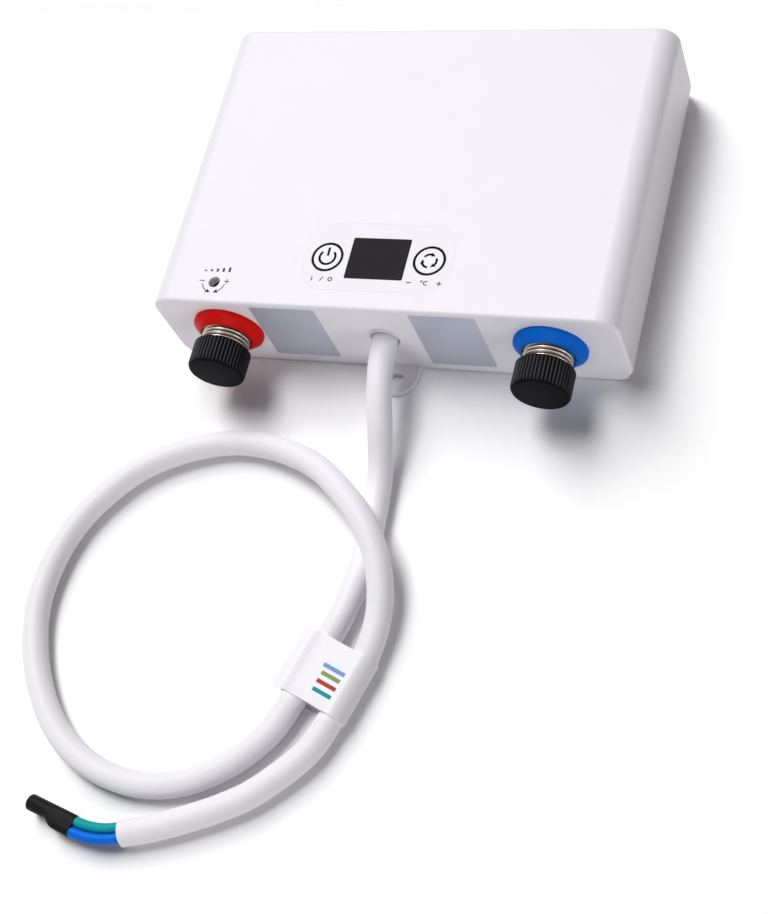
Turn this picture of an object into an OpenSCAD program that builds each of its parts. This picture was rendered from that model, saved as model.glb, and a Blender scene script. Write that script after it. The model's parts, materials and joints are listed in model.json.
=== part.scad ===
// Tankless electric water heater with its supply cord, lying on its back.
// X runs across the ports, -Y leaves the port face, +Z leaves the front face. All sizes in mm.

/* [Housing] */
// Width of the housing across both ports
body_w = 206; // [200:1:220]
// Height of the housing from the port face to the top face
body_h = 145.4; // [142:0.2:156]
// Depth of the housing from the wall to the front face
body_d = 45.7; // [44:0.1:52]
// Radius of the four long edges
corner_r = 8.7; // [7:0.1:10]
// Rounding where the cover rolls over into its end faces
end_r = 1.5; // [0.8:0.1:2.2]
// Wall of the front and of both end faces
wall = 2.5; // [2.2:0.1:3]
// Wall of the left and right sides
side_wall = 4; // [3.6:0.1:5]
// Thickness of the back plate
plate_t = 3; // [2.6:0.1:3.6]

/* [Hanging ears] */
// Radius of the round end of each ear
ear_r = 9.5; // [9:0.1:13]
// Distance from the end face to the middle of the round end
ear_out = 5.1; // [3:0.1:8]
// Thickness of the ears
ear_t = 2.5; // [2:0.1:2.6]
// Length of the slot in the bottom ear
slot_l = 7; // [6:0.1:9]
// Width of the slot in the bottom ear
slot_w = 5; // [4.6:0.1:6]
// Distance from the end face to the middle of slot and hole
slot_out = 7.6; // [6:0.1:9]
// Diameter of the hole in the top ear
ear_hole_d = 5; // [4:0.1:6]

/* [Water ports] */
// Distance of each port from the middle
port_x = 72.3; // [70:0.1:75]
// Height of the port axes above the middle of the depth
port_rise = 1.95; // [0:0.05:3]
// Major diameter of the half inch pipe thread
thread_d = 20.955; // [20.2:0.005:21.4]
// Length of pipe thread outside the port face
nipple_out = 19.2; // [17:0.1:22]
// Bore of the water path
bore_d = 13; // [11:0.1:14]
// Outside diameter of the pipes inside the housing
tube_d = 18; // [17:0.1:19]
// Diameter of the coloured port rings
ring_d = 31.2; // [28:0.1:33]
// Thickness of the coloured port rings at their rim
ring_t = 1.6; // [0.6:0.1:2]
// Height of the cone that each port ring rises to round the thread
ring_hub = 5; // [3:0.1:6]

/* [Port caps] */
// Outside diameter of the ribbed caps
cap_d = 25; // [24.4:0.1:28]
// Length of the ribbed caps
cap_len = 12.6; // [11:0.1:14]
// Thickness of the closed end of the caps
cap_end = 2.2; // [2:0.1:3]
// Number of grip grooves round each cap
cap_ribs = 48; // [24:2:60]
// Depth of the grip grooves
rib_depth = 0.45; // [0.2:0.05:0.6]

/* [Control panel] */
// Offset of the panel from the middle of the housing
panel_x = -2.7; // [-8:0.1:8]
// Distance from the port face to the line of keys and display
panel_in = 24.9; // [24:0.1:28]
// Width of the panel film
film_w = 66; // [64:0.5:72]
// Height of the panel film
film_h = 33; // [30:0.5:38]
// Width of the display window
window_w = 25.9; // [22:0.1:27]
// Height of the display window
window_h = 20; // [16:0.1:22]
// Distance of each key from the middle of the panel
key_dx = 22.8; // [22:0.1:23.6]
// Diameter of each key face
key_d = 14; // [12:0.1:14.4]
// Travel of each key
key_travel = 0.4; // [0.2:0.05:0.5]

/* [Flow adjustment] */
// Position of the flow hole across the housing
flow_x = -74.2; // [-75:0.1:-71]
// Distance from the port face to the flow hole
flow_in = 10.2; // [10:0.1:12]
// Diameter of the flow hole in the front face
flow_hole_d = 5.2; // [4.6:0.1:6]

/* [Supply cord] */
// Diameter of the supply cord
cord_d = 10.8; // [9:0.1:11.6]
// Diameter of each insulated core
core_d = 4.3; // [3.4:0.1:4.4]
// Height of the cord exit above the middle of the depth
gland_rise = 0.95; // [-0.5:0.05:2]
// Length of the cord gland outside the port face
gland_out = 0.8; // [0.5:0.1:2]
// Length of the film tag along the cord
tag_l = 27; // [20:0.5:30]

/* [Hidden] */
$fn = 48;
eps = 0.1;
port_y = -body_h / 2;
port_z = body_d / 2 + port_rise;
gland_z = body_d / 2 + gland_rise;
in_y = body_h / 2 - wall;
cav_hw = body_w / 2 - side_wall;
cav_r = corner_r - wall;
front_in = body_d - wall;
rim_gap = 0.3;
rim_t = 1.6;
rim_h = 3;

// Screws that close the housing
post_r = 4;
post_x = cav_hw - 7;
post_y = in_y - 7;
shank_gap = 0.05;
close_r = 1.45;
close_l = 12;
close_head_r = 2.9;
close_head_h = 1.6;
close_sink = 1.8;

// Fittings, measured outwards from the port face
thread_r = thread_d / 2;
bore_r = bore_d / 2;
tube_r = tube_d / 2;
gasket_t = 1.5;
flange_r = 14;
flange_t = 2;
flange_out = wall + gasket_t;
flange_in = flange_out + flange_t;
port_gap = 0.3;
ring_wall = 0.9;
washer_t = 1.5;
cap_r = cap_d / 2;
cap_bore = thread_r + 0.1;
cap_top = nipple_out + washer_t + cap_end;
cap_open = cap_top - cap_len;

// Heating tank
pipe_run = 64.7;
tank_y0 = port_y + pipe_run;
tank_h = 62;
tank_y1 = tank_y0 + tank_h;
tank_w = 2 * (port_x + 14);
tank_wall = 7;
tank_foot = 14;
tray_floor = 4;
tank_post_r = 4;
tray_low = port_z - 12.5;
tray_top = port_z + 11.8;
seal_t = 1;
lid_t = 3;
lid_top = tray_top + seal_t + lid_t;
socket_in = 9;
tube_in = pipe_run + socket_in - 0.3;
tank_r = 5;
tank_pin_r = 1.5;
tank_head_r = 2.8;
tank_head_h = 2.2;
tank_low_x = port_x - 20;
tank_up_x = tank_w / 2 - 4.5;
tank_low_y = tank_y0 + 4.5;
tank_up_y = tank_y1 - 4.5;
tank_pins = [
    [-tank_low_x, tank_low_y], [0, tank_low_y], [tank_low_x, tank_low_y],
    [-tank_up_x, tank_up_y], [0, tank_up_y], [tank_up_x, tank_up_y]
];
elem_r = 3.2;
elem_x = 30;
elem_bend = 14;
elem_y = tank_y1 - tank_wall - 8 - elem_bend;
probe_x = -(port_x - 15.3);

// Flow turbine in the cold pipe, measured inwards from the port face
filter_in = 16;
cage_in = 20;
axle_r = 0.8;
turbine_in = 24.5;
turbine_l = 9;
turbine_r = bore_r - 0.6;
retain_in = 35;

// Control panel stack, measured from the front face
panel_y = port_y + panel_in;
film_t = 0.35;
film_up = 0.6;
film_r = 12;
film_z = body_d - film_t;
window_t = 1.6;
window_r = 0.7;
ledge = 1.2;
key_r = key_d / 2;
key_gap = 0.2;
key_flange_r = key_r + 0.9;
key_flange_t = 0.8;
key_flange_z = film_z - 0.05 - key_flange_t;
key_floor = key_flange_z - key_travel - 0.1;
stem_r = 2.5;
stem_fit = 0.08;
guide_r = 4.2;
disp_stand = 7.2;
disp_top = front_in - disp_stand;
disp_t = 1.6;
disp_hw = key_dx + 10.7;
disp_hh = 11;
disp_post_x = key_dx + 7.7;
disp_post_y = 8;
disp_post_r = 2.6;
disp_pin_r = 0.95;
disp_pin_l = 5;
disp_head_r = 2;
disp_head_h = 1.4;
switch_w = 6;
switch_h = 3.5;
plunger_r = 1.7;
plunger_top = disp_top + 4.2;
keys = [-1, 1];

// Throttle spindle behind the flow hole
flow_y = port_y + flow_in;
spindle_r = 2;
spindle_fit = 0.06;
bonnet_r = 4;
nut_r = 3.7;
valve_seal_r = 3.2;
bonnet_top = port_z + tube_r + 0.2;
nut_h = 2.4;
spindle_top = body_d - 6.6;

// Power board
board_hw = 50;
board_y0 = port_y + 15;
board_l = 40;
board_z = plate_t + 4;
board_t = 1.6;
board_top = board_z + board_t;
board_post_x = board_hw - 4;
board_post_y = [board_y0 + 4, board_y0 + board_l - 8];
board_post_r = 3;
board_pin_r = 1.2;
board_pin_l = 9;
board_head_r = 2.3;
board_head_h = 1.5;

// Cord entry
cord_r = cord_d / 2;
core_r = core_d / 2;
core_c = core_d / sqrt(3) + 0.04;
gland_y = port_y - gland_out;
mouth_in = 3.5;
tail_gap = 0.05;
tail_end = port_y + 13;
sad_y0 = port_y + wall + 3;
sad_l = 6;
sad_hw = 15;
sad_pin = 10.5;
sad_drop = 10;
clamp_r = 1.4;
clamp_l = 18;
clamp_head_r = 2.4;
clamp_head_h = 1.8;
block_y0 = port_y + 21;
block_l = 12;
block_pitch = 6.5;

// Route of the free cord: out of the gland, down to the floor, once round, over itself and to its end
route = [
    [0, gland_y, gland_z], [0.7, gland_y - 11, gland_z - 0.4], [2.2, -96.5, 20.9], [3.7, -107.7, 16],
    [5.1, -119.4, 9.9], [6.2, -130.1, 6.6], [7.1, -142.2, 5.5], [8, -158, 5.5], [7.5, -173, 5.5],
    [5.5, -188, 5.8], [2, -202, 6.2], [-2, -215, 6.2], [-6, -228.2, 6.2], [-13.3, -243.9, 5.6],
    [-27, -258.3, 5.5], [-44.6, -268.1, 5.5], [-65, -270.8, 5.5], [-87.3, -265.5, 5.5],
    [-107.6, -251.5, 5.5], [-123.4, -229.2, 5.5], [-131.9, -205, 5.5], [-132.2, -183.2, 5.5],
    [-127, -163.5, 5.5], [-117.3, -147.5, 5.5], [-103.6, -133.5, 5.5], [-85, -123.4, 5.5],
    [-64, -118.1, 5.6], [-43, -120, 7], [-22, -128.1, 11], [-4.9, -141, 15.8], [9.1, -155, 17.1],
    [18.1, -170.8, 14], [21.5, -189, 9], [19.8, -206.8, 6.3], [16, -220, 6.2], [12, -233, 6.2],
    [4.8, -249, 5.6], [-11, -266, 5.5], [-23.3, -274.4, 5.5], [-36.4, -281.1, 5.5],
    [-50, -287, 5.5], [-62.8, -291.3, 5.5]
];
tag_a = 11;
tag_b = 34;
tag_gap = 0.4;
tag_t = 0.3;
tag_flag = 5.5;
steps = 2;
sides = 10;
last = len(route) - 1;

// Cores and sleeve after the end of the jacket
end_pt = route[last];
end_dir = route[last] - route[last - 1];
end_turn = atan2(end_dir[1], end_dir[0]);
fan_r = 36;
fan_a = 33;
core_in = 6;
sleeve_wide = 4.9;
sleeve_slim = 3.3;
sleeve_l1 = 13;
sleeve_l2 = 24;

// Rectangle with round corners, centred
module round_rect(w, h, r) {
    square([w - 2 * r, h], center = true);
    square([w, h - 2 * r], center = true);
    for (sx = [-1, 1], sy = [-1, 1])
        translate([sx * (w / 2 - r), sy * (h / 2 - r)])
            circle(r);
}

// Half section of a round post whose ends roll over with radius e
module rolled(r, l, e) {
    translate([0, -l / 2])
        square([r - e, l]);
    translate([0, -l / 2 + e])
        square([r, l - 2 * e]);
    for (s = [-1, 1])
        translate([r - e, s * (l / 2 - e)])
            circle(e);
}

// Ring or tube standing on z = 0
module ring(ro, ri, h) {
    difference() {
        cylinder(h = h, r = ro);
        translate([0, 0, -eps])
            cylinder(h = h + 2 * eps, r = ri);
    }
}

// Children turned so that their z runs outwards from the port face, on one port's axis
module at_port(side) {
    translate([side * port_x, port_y, port_z])
        rotate([90, 0, 0])
            children();
}

// Children turned so that their z runs outwards, at a given place
module outwards(x, y, z) {
    translate([x, y, z])
        rotate([90, 0, 0])
            children();
}

// Pan-head screw: underside of the head on z = 0, shank upwards
module screw(head_r, head_h, r, l) {
    translate([0, 0, -head_h])
        cylinder(h = head_h, r = head_r);
    cylinder(h = l, r = r);
}

// Straight rod between two points, run on a little past both
module rod(a, b, r) {
    d = b - a;
    l = norm(d);
    translate(a)
        rotate([0, acos(d[2] / l), atan2(d[1], d[0])])
            translate([0, 0, -r / 3])
                cylinder(h = l + 2 * r / 3, r = r);
}

// Box that stands over the whole part from one height to another
module layer(z0, z1) {
    translate([-body_w, -body_h, z0])
        cube([2 * body_w, 2 * body_h, z1 - z0]);
}

// Housing with rolled end edges: middle slab, two side slabs and four turned corner posts
module housing() {
    r = corner_r;
    translate([-body_w / 2 + r, 0, body_d / 2])
        rotate([90, 0, 90])
            linear_extrude(body_w - 2 * r)
                round_rect(body_h, body_d, end_r);
    for (a = [0, 180])
        translate([0, 0, r])
            rotate([0, 0, a])
                translate([body_w / 2 - r, 0, 0])
                    linear_extrude(body_d - 2 * r)
                        rolled(r, body_h, end_r);
    for (c = [[1, 1, 0], [-1, 1, 90], [-1, -1, 180], [1, -1, 270]])
        translate([c[0] * (body_w / 2 - r), 0, body_d / 2 + c[1] * (body_d / 2 - r)])
            rotate([90, 0, 0])
                rotate([0, 0, c[2]])
                    rotate_extrude(angle = 90)
                        rolled(r, body_h, end_r);
}

// Space inside the cover, open at the back
module cavity() {
    rotate([90, 0, 0])
        translate([0, 0, -in_y])
            linear_extrude(2 * in_y) {
                translate([-cav_hw, 0])
                    square([2 * cav_hw, front_in - cav_r]);
                translate([-cav_hw + cav_r, 0])
                    square([2 * (cav_hw - cav_r), front_in]);
                for (s = [-1, 1])
                    translate([s * (cav_hw - cav_r), front_in - cav_r])
                        circle(cav_r);
            }
}

// Post standing down from the front wall to height z
module down_post(x, y, z, r) {
    translate([x, y, z])
        cylinder(h = front_in - z + eps, r = r);
}

// Moulded shell: rolled edges, posts, key guides and cord saddle in one piece
module front_cover() {
    color("white")
    difference() {
        union() {
            difference() {
                intersection() {
                    housing();
                    layer(plate_t, 2 * body_d);
                }
                cavity();
            }
            for (sx = [-1, 1], sy = [-1, 1])
                down_post(sx * post_x, sy * post_y, plate_t, post_r);
            for (p = tank_pins)
                down_post(p[0], p[1], lid_top, tank_post_r);
            for (sx = [-1, 1], sy = [-1, 1])
                down_post(panel_x + sx * disp_post_x, panel_y + sy * disp_post_y, disp_top, disp_post_r);
            for (sx = [-1, 1], y = board_post_y)
                down_post(sx * board_post_x, y, board_top, board_post_r);
            for (s = keys)
                down_post(panel_x + s * key_dx, panel_y, front_in - 2.6, guide_r);
            down_post(flow_x, flow_y, front_in - 2, flow_hole_d / 2 + 1.8);
            translate([-sad_hw, sad_y0, gland_z + 0.3])
                cube([2 * sad_hw, sad_l, front_in - gland_z - 0.3 + eps]);
        }
        for (sx = [-1, 1], sy = [-1, 1])
            translate([sx * post_x, sy * post_y, plate_t - eps])
                cylinder(h = close_l, r = close_r + shank_gap);
        for (p = tank_pins)
            translate([p[0], p[1], lid_top - eps])
                cylinder(h = front_in - lid_top + 1, r = tank_pin_r + shank_gap);
        for (sx = [-1, 1], sy = [-1, 1])
            translate([panel_x + sx * disp_post_x, panel_y + sy * disp_post_y, disp_top - eps])
                cylinder(h = disp_pin_l + 1, r = disp_pin_r + shank_gap);
        for (sx = [-1, 1], y = board_post_y)
            translate([sx * board_post_x, y, board_top - eps])
                cylinder(h = board_pin_l + 1, r = board_pin_r + shank_gap);
        translate([panel_x, panel_y + film_up, film_z])
            linear_extrude(film_t + eps)
                round_rect(film_w + 0.1, film_h + 0.1, film_r + 0.05);
        translate([panel_x, panel_y, body_d - window_t])
            linear_extrude(window_t + eps)
                round_rect(window_w + 0.1, window_h + 0.1, window_r + 0.05);
        translate([panel_x, panel_y, front_in - eps])
            linear_extrude(wall)
                square([window_w - 2 * ledge, window_h - 2 * ledge], center = true);
        for (s = keys)
            translate([panel_x + s * key_dx, panel_y, key_floor])
                cylinder(h = wall, r = key_flange_r + 0.15);
        for (s = keys)
            translate([panel_x + s * key_dx, panel_y, front_in - 3])
                cylinder(h = wall + 3, r = stem_r + stem_fit);
        translate([flow_x, flow_y, front_in - 4])
            cylinder(h = wall + 5, r = flow_hole_d / 2);
        for (s = [-1, 1])
            at_port(s)
                translate([0, 0, -wall - 1])
                    cylinder(h = wall + 2, r = thread_r + port_gap);
        outwards(0, port_y, gland_z)
            translate([0, 0, -wall - 1])
                cylinder(h = wall + 2, r = cord_r + 1.6);
        outwards(0, sad_y0 + sad_l + eps, gland_z)
            cylinder(h = sad_l + 2 * eps, r = cord_r + tail_gap);
        for (s = [-1, 1])
            translate([s * sad_pin, sad_y0 + sad_l / 2, gland_z])
                cylinder(h = clamp_l - sad_drop + 1, r = clamp_r + shank_gap);
    }
}

// Outline of an ear beyond the end face, towards +Y
module ear_shape() {
    translate([-ear_r, -wall])
        square([2 * ear_r, ear_out + wall]);
    translate([0, ear_out])
        circle(ear_r);
}

// Closing plate with sharp edges, locating rim and both hanging ears
module back_plate() {
    color("whitesmoke")
    difference() {
        union() {
            intersection() {
                translate([0, body_h / 2, body_d / 2])
                    rotate([90, 0, 0])
                        linear_extrude(body_h)
                            round_rect(body_w, body_d, corner_r);
                layer(-1, plate_t);
            }
            for (a = [0, 180])
                rotate([0, 0, a])
                    translate([0, body_h / 2, 0])
                        linear_extrude(ear_t)
                            ear_shape();
            translate([0, 0, plate_t - eps])
                linear_extrude(rim_h + eps)
                    difference() {
                        square(2 * [cav_hw - rim_gap, in_y - rim_gap], center = true);
                        square(2 * [cav_hw - rim_gap - rim_t, in_y - rim_gap - rim_t], center = true);
                    }
        }
        translate([0, port_y - slot_out, -eps])
            linear_extrude(ear_t + 2 * eps)
                round_rect(slot_l, slot_w, slot_w / 2 - 0.01);
        translate([0, body_h / 2 + slot_out, -eps])
            cylinder(h = ear_t + 2 * eps, r = ear_hole_d / 2);
        for (sx = [-1, 1], sy = [-1, 1])
            translate([sx * post_x, sy * post_y, -eps]) {
                cylinder(h = plate_t + 1, r = close_r + 0.25);
                cylinder(h = close_sink + eps, r = close_head_r + 0.3);
            }
    }
}

module cover_screws() {
    color("silver")
    for (sx = [-1, 1], sy = [-1, 1])
        translate([sx * post_x, sy * post_y, close_sink])
            screw(close_head_r, close_head_h, close_r, close_l);
}

// Film with openings for the window and both keys
module control_overlay() {
    color("ghostwhite")
    translate([panel_x, panel_y, film_z])
        linear_extrude(film_t)
            difference() {
                translate([0, film_up])
                    round_rect(film_w, film_h, film_r);
                round_rect(window_w + 0.1, window_h + 0.1, window_r + 0.05);
                for (s = keys)
                    translate([s * key_dx, 0])
                        circle(key_r + key_gap);
            }
}

module display_window() {
    color("black")
    translate([panel_x, panel_y, body_d - window_t])
        linear_extrude(window_t)
            round_rect(window_w, window_h, window_r);
}

// Key: flush face, flange held under the film, stem down to the switch
module key(side) {
    translate([panel_x + side * key_dx, panel_y, 0]) {
        translate([0, 0, key_flange_z])
            cylinder(h = body_d - key_flange_z, r = key_r);
        translate([0, 0, key_flange_z])
            cylinder(h = key_flange_t, r = key_flange_r);
        translate([0, 0, plunger_top])
            cylinder(h = key_flange_z - plunger_top + eps, r = stem_r);
    }
}

module power_button() {
    color("white")
    key(-1);
}

module temperature_button() {
    color("white")
    key(1);
}

module plunger(side) {
    translate([panel_x + side * key_dx, panel_y, plunger_top - 2])
        cylinder(h = 2, r = plunger_r);
}

module power_plunger() {
    color("black")
    plunger(-1);
}

module temperature_plunger() {
    color("black")
    plunger(1);
}

module key_switches() {
    color("dimgray")
    for (s = keys)
        translate([panel_x + s * key_dx, panel_y, disp_top])
            difference() {
                translate([-switch_w / 2, -switch_w / 2, 0])
                    cube([switch_w, switch_w, switch_h]);
                translate([0, 0, plunger_top - disp_top - 2 - key_travel - 0.1])
                    cylinder(h = switch_h, r = plunger_r + stem_fit);
            }
}

module display_board() {
    color("darkgreen")
    translate([panel_x, panel_y, disp_top - disp_t])
        difference() {
            translate([-disp_hw, -disp_hh, 0])
                cube([2 * disp_hw, 2 * disp_hh, disp_t]);
            for (sx = [-1, 1], sy = [-1, 1])
                translate([sx * disp_post_x, sy * disp_post_y, -eps])
                    cylinder(h = disp_t + 2 * eps, r = disp_pin_r + 0.25);
        }
}

module digit_display() {
    color("dimgray")
    translate([panel_x, panel_y, disp_top])
        translate([-window_w / 2 + ledge + 0.4, -window_h / 2 + ledge + 0.4, 0])
            cube([window_w - 2 * ledge - 0.8, window_h - 2 * ledge - 0.8, disp_stand - 0.2]);
}

module display_board_screws() {
    color("silver")
    for (sx = [-1, 1], sy = [-1, 1])
        translate([panel_x + sx * disp_post_x, panel_y + sy * disp_post_y, disp_top - disp_t])
            screw(disp_head_r, disp_head_h, disp_pin_r, disp_t + disp_pin_l);
}

// Threaded port, inner flange and pipe to the tank, turned about the port axis
module fitting() {
    rotate_extrude()
        polygon([
            [bore_r, -tube_in], [tube_r, -tube_in], [tube_r, -flange_in], [flange_r, -flange_in],
            [flange_r, -flange_out], [thread_r, -flange_out], [thread_r, nipple_out - 1],
            [thread_r - 1, nipple_out], [bore_r, nipple_out]
        ]);
}

// Hot port with the bonnet of the throttle
module hot_fitting() {
    color("silver")
    difference() {
        union() {
            at_port(-1)
                fitting();
            translate([flow_x, flow_y, port_z])
                cylinder(h = bonnet_top - port_z, r = bonnet_r);
        }
        at_port(-1)
            translate([0, 0, -tube_in])
                cylinder(h = tube_in, r = bore_r);
        translate([flow_x, flow_y, port_z])
            cylinder(h = bonnet_top, r = spindle_r + spindle_fit);
        translate([flow_x, flow_y, bonnet_top - 1.8])
            cylinder(h = 2, r = valve_seal_r + 0.1);
    }
}

module cold_fitting() {
    color("silver")
    at_port(1)
        fitting();
}

module port_gasket(side) {
    at_port(side)
        translate([0, 0, -flange_out])
            ring(flange_r - 0.5, thread_r + port_gap, gasket_t);
}

module hot_port_gasket() {
    color("black")
    port_gasket(-1);
}

module cold_port_gasket() {
    color("black")
    port_gasket(1);
}

// Flat rim that rises as a cone to a narrow collar round the thread
module port_ring() {
    ri = thread_r + port_gap;
    rotate_extrude()
        polygon([
            [ri, 0], [ring_d / 2, 0], [ring_d / 2, ring_t], [ri + ring_wall, ring_hub], [ri, ring_hub]
        ]);
}

module hot_ring() {
    color("red")
    at_port(-1)
        port_ring();
}

module cold_ring() {
    color("deepskyblue")
    at_port(1)
        port_ring();
}

// Screw cap: turned shell with rolled edges and grip grooves all round
module cap() {
    difference() {
        rotate_extrude()
            translate([0, (cap_open + cap_top) / 2])
                rolled(cap_r, cap_len, 1.2);
        translate([0, 0, cap_open - eps])
            cylinder(h = cap_len - cap_end + eps, r = cap_bore);
        for (i = [0:cap_ribs - 1])
            rotate([0, 0, i * 360 / cap_ribs])
                translate([cap_r - rib_depth, -0.45, cap_open - eps])
                    cube([2, 0.9, cap_len - 1.6]);
    }
}

module hot_cap() {
    color("black")
    at_port(-1)
        cap();
}

module cold_cap() {
    color("black")
    at_port(1)
        cap();
}

module cap_washer(side) {
    at_port(side)
        translate([0, 0, nipple_out])
            ring(thread_r - 0.3, bore_r - 2, washer_t);
}

module hot_cap_washer() {
    color("dimgray")
    cap_washer(-1);
}

module cold_cap_washer() {
    color("dimgray")
    cap_washer(1);
}

// Throttle spindle: driver slot on top, half-round gate in the water path
module flow_adjust_screw() {
    color("dimgray")
    translate([flow_x, flow_y, 0])
        difference() {
            translate([0, 0, port_z - 4.5])
                cylinder(h = spindle_top - port_z + 4.5, r = spindle_r);
            translate([0, -spindle_r - 1, port_z - 5])
                cube([spindle_r + 1, 2 * spindle_r + 2, 9]);
            translate([-spindle_r - 1, -0.4, spindle_top - 1.2])
                cube([2 * spindle_r + 2, 0.8, 2]);
        }
}

module valve_seal() {
    color("black")
    translate([flow_x, flow_y, bonnet_top - 1.8])
        ring(valve_seal_r, spindle_r + spindle_fit, 1.8);
}

module valve_nut() {
    color("goldenrod")
    translate([flow_x, flow_y, bonnet_top])
        difference() {
            cylinder(h = nut_h, r = nut_r, $fn = 6);
            translate([0, 0, -eps])
                cylinder(h = nut_h + 2 * eps, r = spindle_r + spindle_fit);
        }
}

// Strainer disc in the cold pipe, ahead of the turbine
module inlet_filter() {
    color("gainsboro")
    at_port(1)
        translate([0, 0, -filter_in - 1])
            difference() {
                cylinder(h = 1, r = bore_r - 0.05);
                for (i = [0:5])
                    rotate([0, 0, i * 60])
                        translate([0.56 * bore_r, 0, -eps])
                            cylinder(h = 2, r = 1.2);
                translate([0, 0, -eps])
                    cylinder(h = 2, r = 1.2);
            }
}

// Spider that fits the water bore, h long
module spider(h) {
    ring(bore_r - 0.05, bore_r - 0.85, h);
    cylinder(h = h, r = 1.8);
    for (i = [0:2])
        rotate([0, 0, i * 120])
            translate([0, -0.5, 0])
                cube([bore_r - 0.5, 1, h]);
}

module turbine_cage() {
    color("white")
    at_port(1)
        translate([0, 0, -cage_in - 3]) {
            spider(3);
            translate([0, 0, -(retain_in - cage_in)])
                cylinder(h = retain_in - cage_in + 1, r = axle_r);
        }
}

module turbine_retainer() {
    color("white")
    at_port(1)
        translate([0, 0, -retain_in - 3])
            difference() {
                spider(3);
                translate([0, 0, -eps])
                    cylinder(h = 4, r = axle_r + 0.05);
            }
}

// Turbine with slanted blades, running on the axle
module flow_turbine() {
    color("royalblue")
    at_port(1)
        translate([0, 0, -turbine_in - turbine_l])
            difference() {
                union() {
                    cylinder(h = turbine_l, r = 1.9);
                    intersection() {
                        cylinder(h = turbine_l, r = turbine_r);
                        for (i = [0:4])
                            rotate([0, 0, i * 72])
                                translate([0, 0, turbine_l / 2])
                                    rotate([30, 0, 0])
                                        translate([1, -0.5, -turbine_l])
                                            cube([turbine_r, 1, 2 * turbine_l]);
                    }
                }
                translate([0, 0, -eps])
                    cylinder(h = turbine_l + 2 * eps, r = axle_r + 0.06);
            }
}

// Magnetic pick-up saddled on the cold pipe
module flow_sensor() {
    color("black")
    difference() {
        translate([port_x - 4, port_y + turbine_in, port_z + tube_r - 2])
            cube([8, turbine_l, 6]);
        at_port(1)
            translate([0, 0, -pipe_run])
                cylinder(h = pipe_run, r = tube_r + 0.05);
    }
}

module pipe_seals() {
    color("black")
    for (s = [-1, 1])
        at_port(s)
            translate([0, 0, -pipe_run - 2])
                ring(tube_r + 1.6, tube_r + 0.05, 2);
}

// Outline of the tank, seen from the front
module tank_outline() {
    translate([0, (tank_y0 + tank_y1) / 2])
        round_rect(tank_w, tank_h, tank_r);
}

// Outline of the water space in the tank
module tank_space() {
    translate([0, (tank_y0 + tank_foot + tank_y1 - tank_wall) / 2])
        round_rect(tank_w - 2 * tank_wall, tank_h - tank_foot - tank_wall, tank_r);
}

module tank_pin_holes(z0, z1) {
    for (p = tank_pins)
        translate([p[0], p[1], z0 - eps])
            cylinder(h = z1 - z0 + 2 * eps, r = tank_pin_r + 0.2);
}

// Cast tray with pipe sockets and bores for the heating tubes
module tank_tray() {
    color("lightgray")
    difference() {
        translate([0, 0, tray_low])
            linear_extrude(tray_top - tray_low)
                tank_outline();
        translate([0, 0, tray_low + tray_floor])
            linear_extrude(tray_top)
                tank_space();
        for (s = [-1, 1])
            at_port(s) {
                translate([0, 0, -pipe_run - socket_in])
                    cylinder(h = socket_in + 1, r = tube_r + 0.1);
                translate([0, 0, -pipe_run - 2])
                    cylinder(h = 3, r = tube_r + 1.7);
                translate([0, 0, -pipe_run - tank_foot - 2])
                    cylinder(h = tank_foot, r = bore_r);
            }
        for (s = [-1, 1], t = [-1, 1])
            outwards(s * elem_x + t * elem_bend, tank_y0 + tank_foot + 1, port_z)
                cylinder(h = tank_foot + 2, r = elem_r + 0.1);
        outwards(probe_x, tank_y0 + tank_foot + 1, port_z)
            cylinder(h = tank_foot + 2, r = 2.1);
        tank_pin_holes(tray_low, tray_top);
    }
}

module tank_seal() {
    color("black")
    difference() {
        translate([0, 0, tray_top])
            linear_extrude(seal_t)
                difference() {
                    tank_outline();
                    tank_space();
                }
        tank_pin_holes(tray_top, tray_top + seal_t);
    }
}

module tank_lid() {
    color("silver")
    difference() {
        translate([0, 0, tray_top + seal_t])
            linear_extrude(lid_t)
                tank_outline();
        tank_pin_holes(tray_top + seal_t, lid_top);
    }
}

module tank_screws() {
    color("silver")
    for (p = tank_pins)
        translate([p[0], p[1], tray_low])
            screw(tank_head_r, tank_head_h, tank_pin_r, front_in - tray_low + 0.4);
}

// Two heating tubes bent to a U, with connection pins outside the tank
module heating_elements() {
    color("gray")
    for (s = [-1, 1])
        translate([s * elem_x, elem_y, port_z]) {
            for (t = [-1, 1])
                outwards(t * elem_bend, 0, 0) {
                    cylinder(h = elem_y - tank_y0 + 4, r = elem_r);
                    translate([0, 0, elem_y - tank_y0 + 4])
                        cylinder(h = 8, r = 1.4);
                }
            rotate_extrude(angle = 180)
                translate([elem_bend, 0])
                    circle(elem_r);
        }
}

module element_seals() {
    color("black")
    for (s = [-1, 1], t = [-1, 1])
        outwards(s * elem_x + t * elem_bend, tank_y0, port_z)
            ring(elem_r + 1.4, elem_r + 0.05, 2);
}

module thermal_cutout() {
    color("saddlebrown")
    outwards(0, tank_y0, port_z) {
        cylinder(h = 3, r = 8);
        translate([0, 0, 3])
            cylinder(h = 4, r = 6);
    }
}

module temperature_sensor() {
    color("goldenrod")
    outwards(probe_x, tank_y0 + 22, port_z) {
        cylinder(h = 22, r = 2);
        translate([0, 0, 22])
            cylinder(h = 4, r = 3.6, $fn = 6);
    }
}

module power_board() {
    color("darkgreen")
    difference() {
        translate([-board_hw, board_y0, board_z])
            cube([2 * board_hw, board_l, board_t]);
        for (sx = [-1, 1], y = board_post_y)
            translate([sx * board_post_x, y, board_z - eps])
                cylinder(h = board_t + 2 * eps, r = board_pin_r + 0.3);
    }
}

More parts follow.
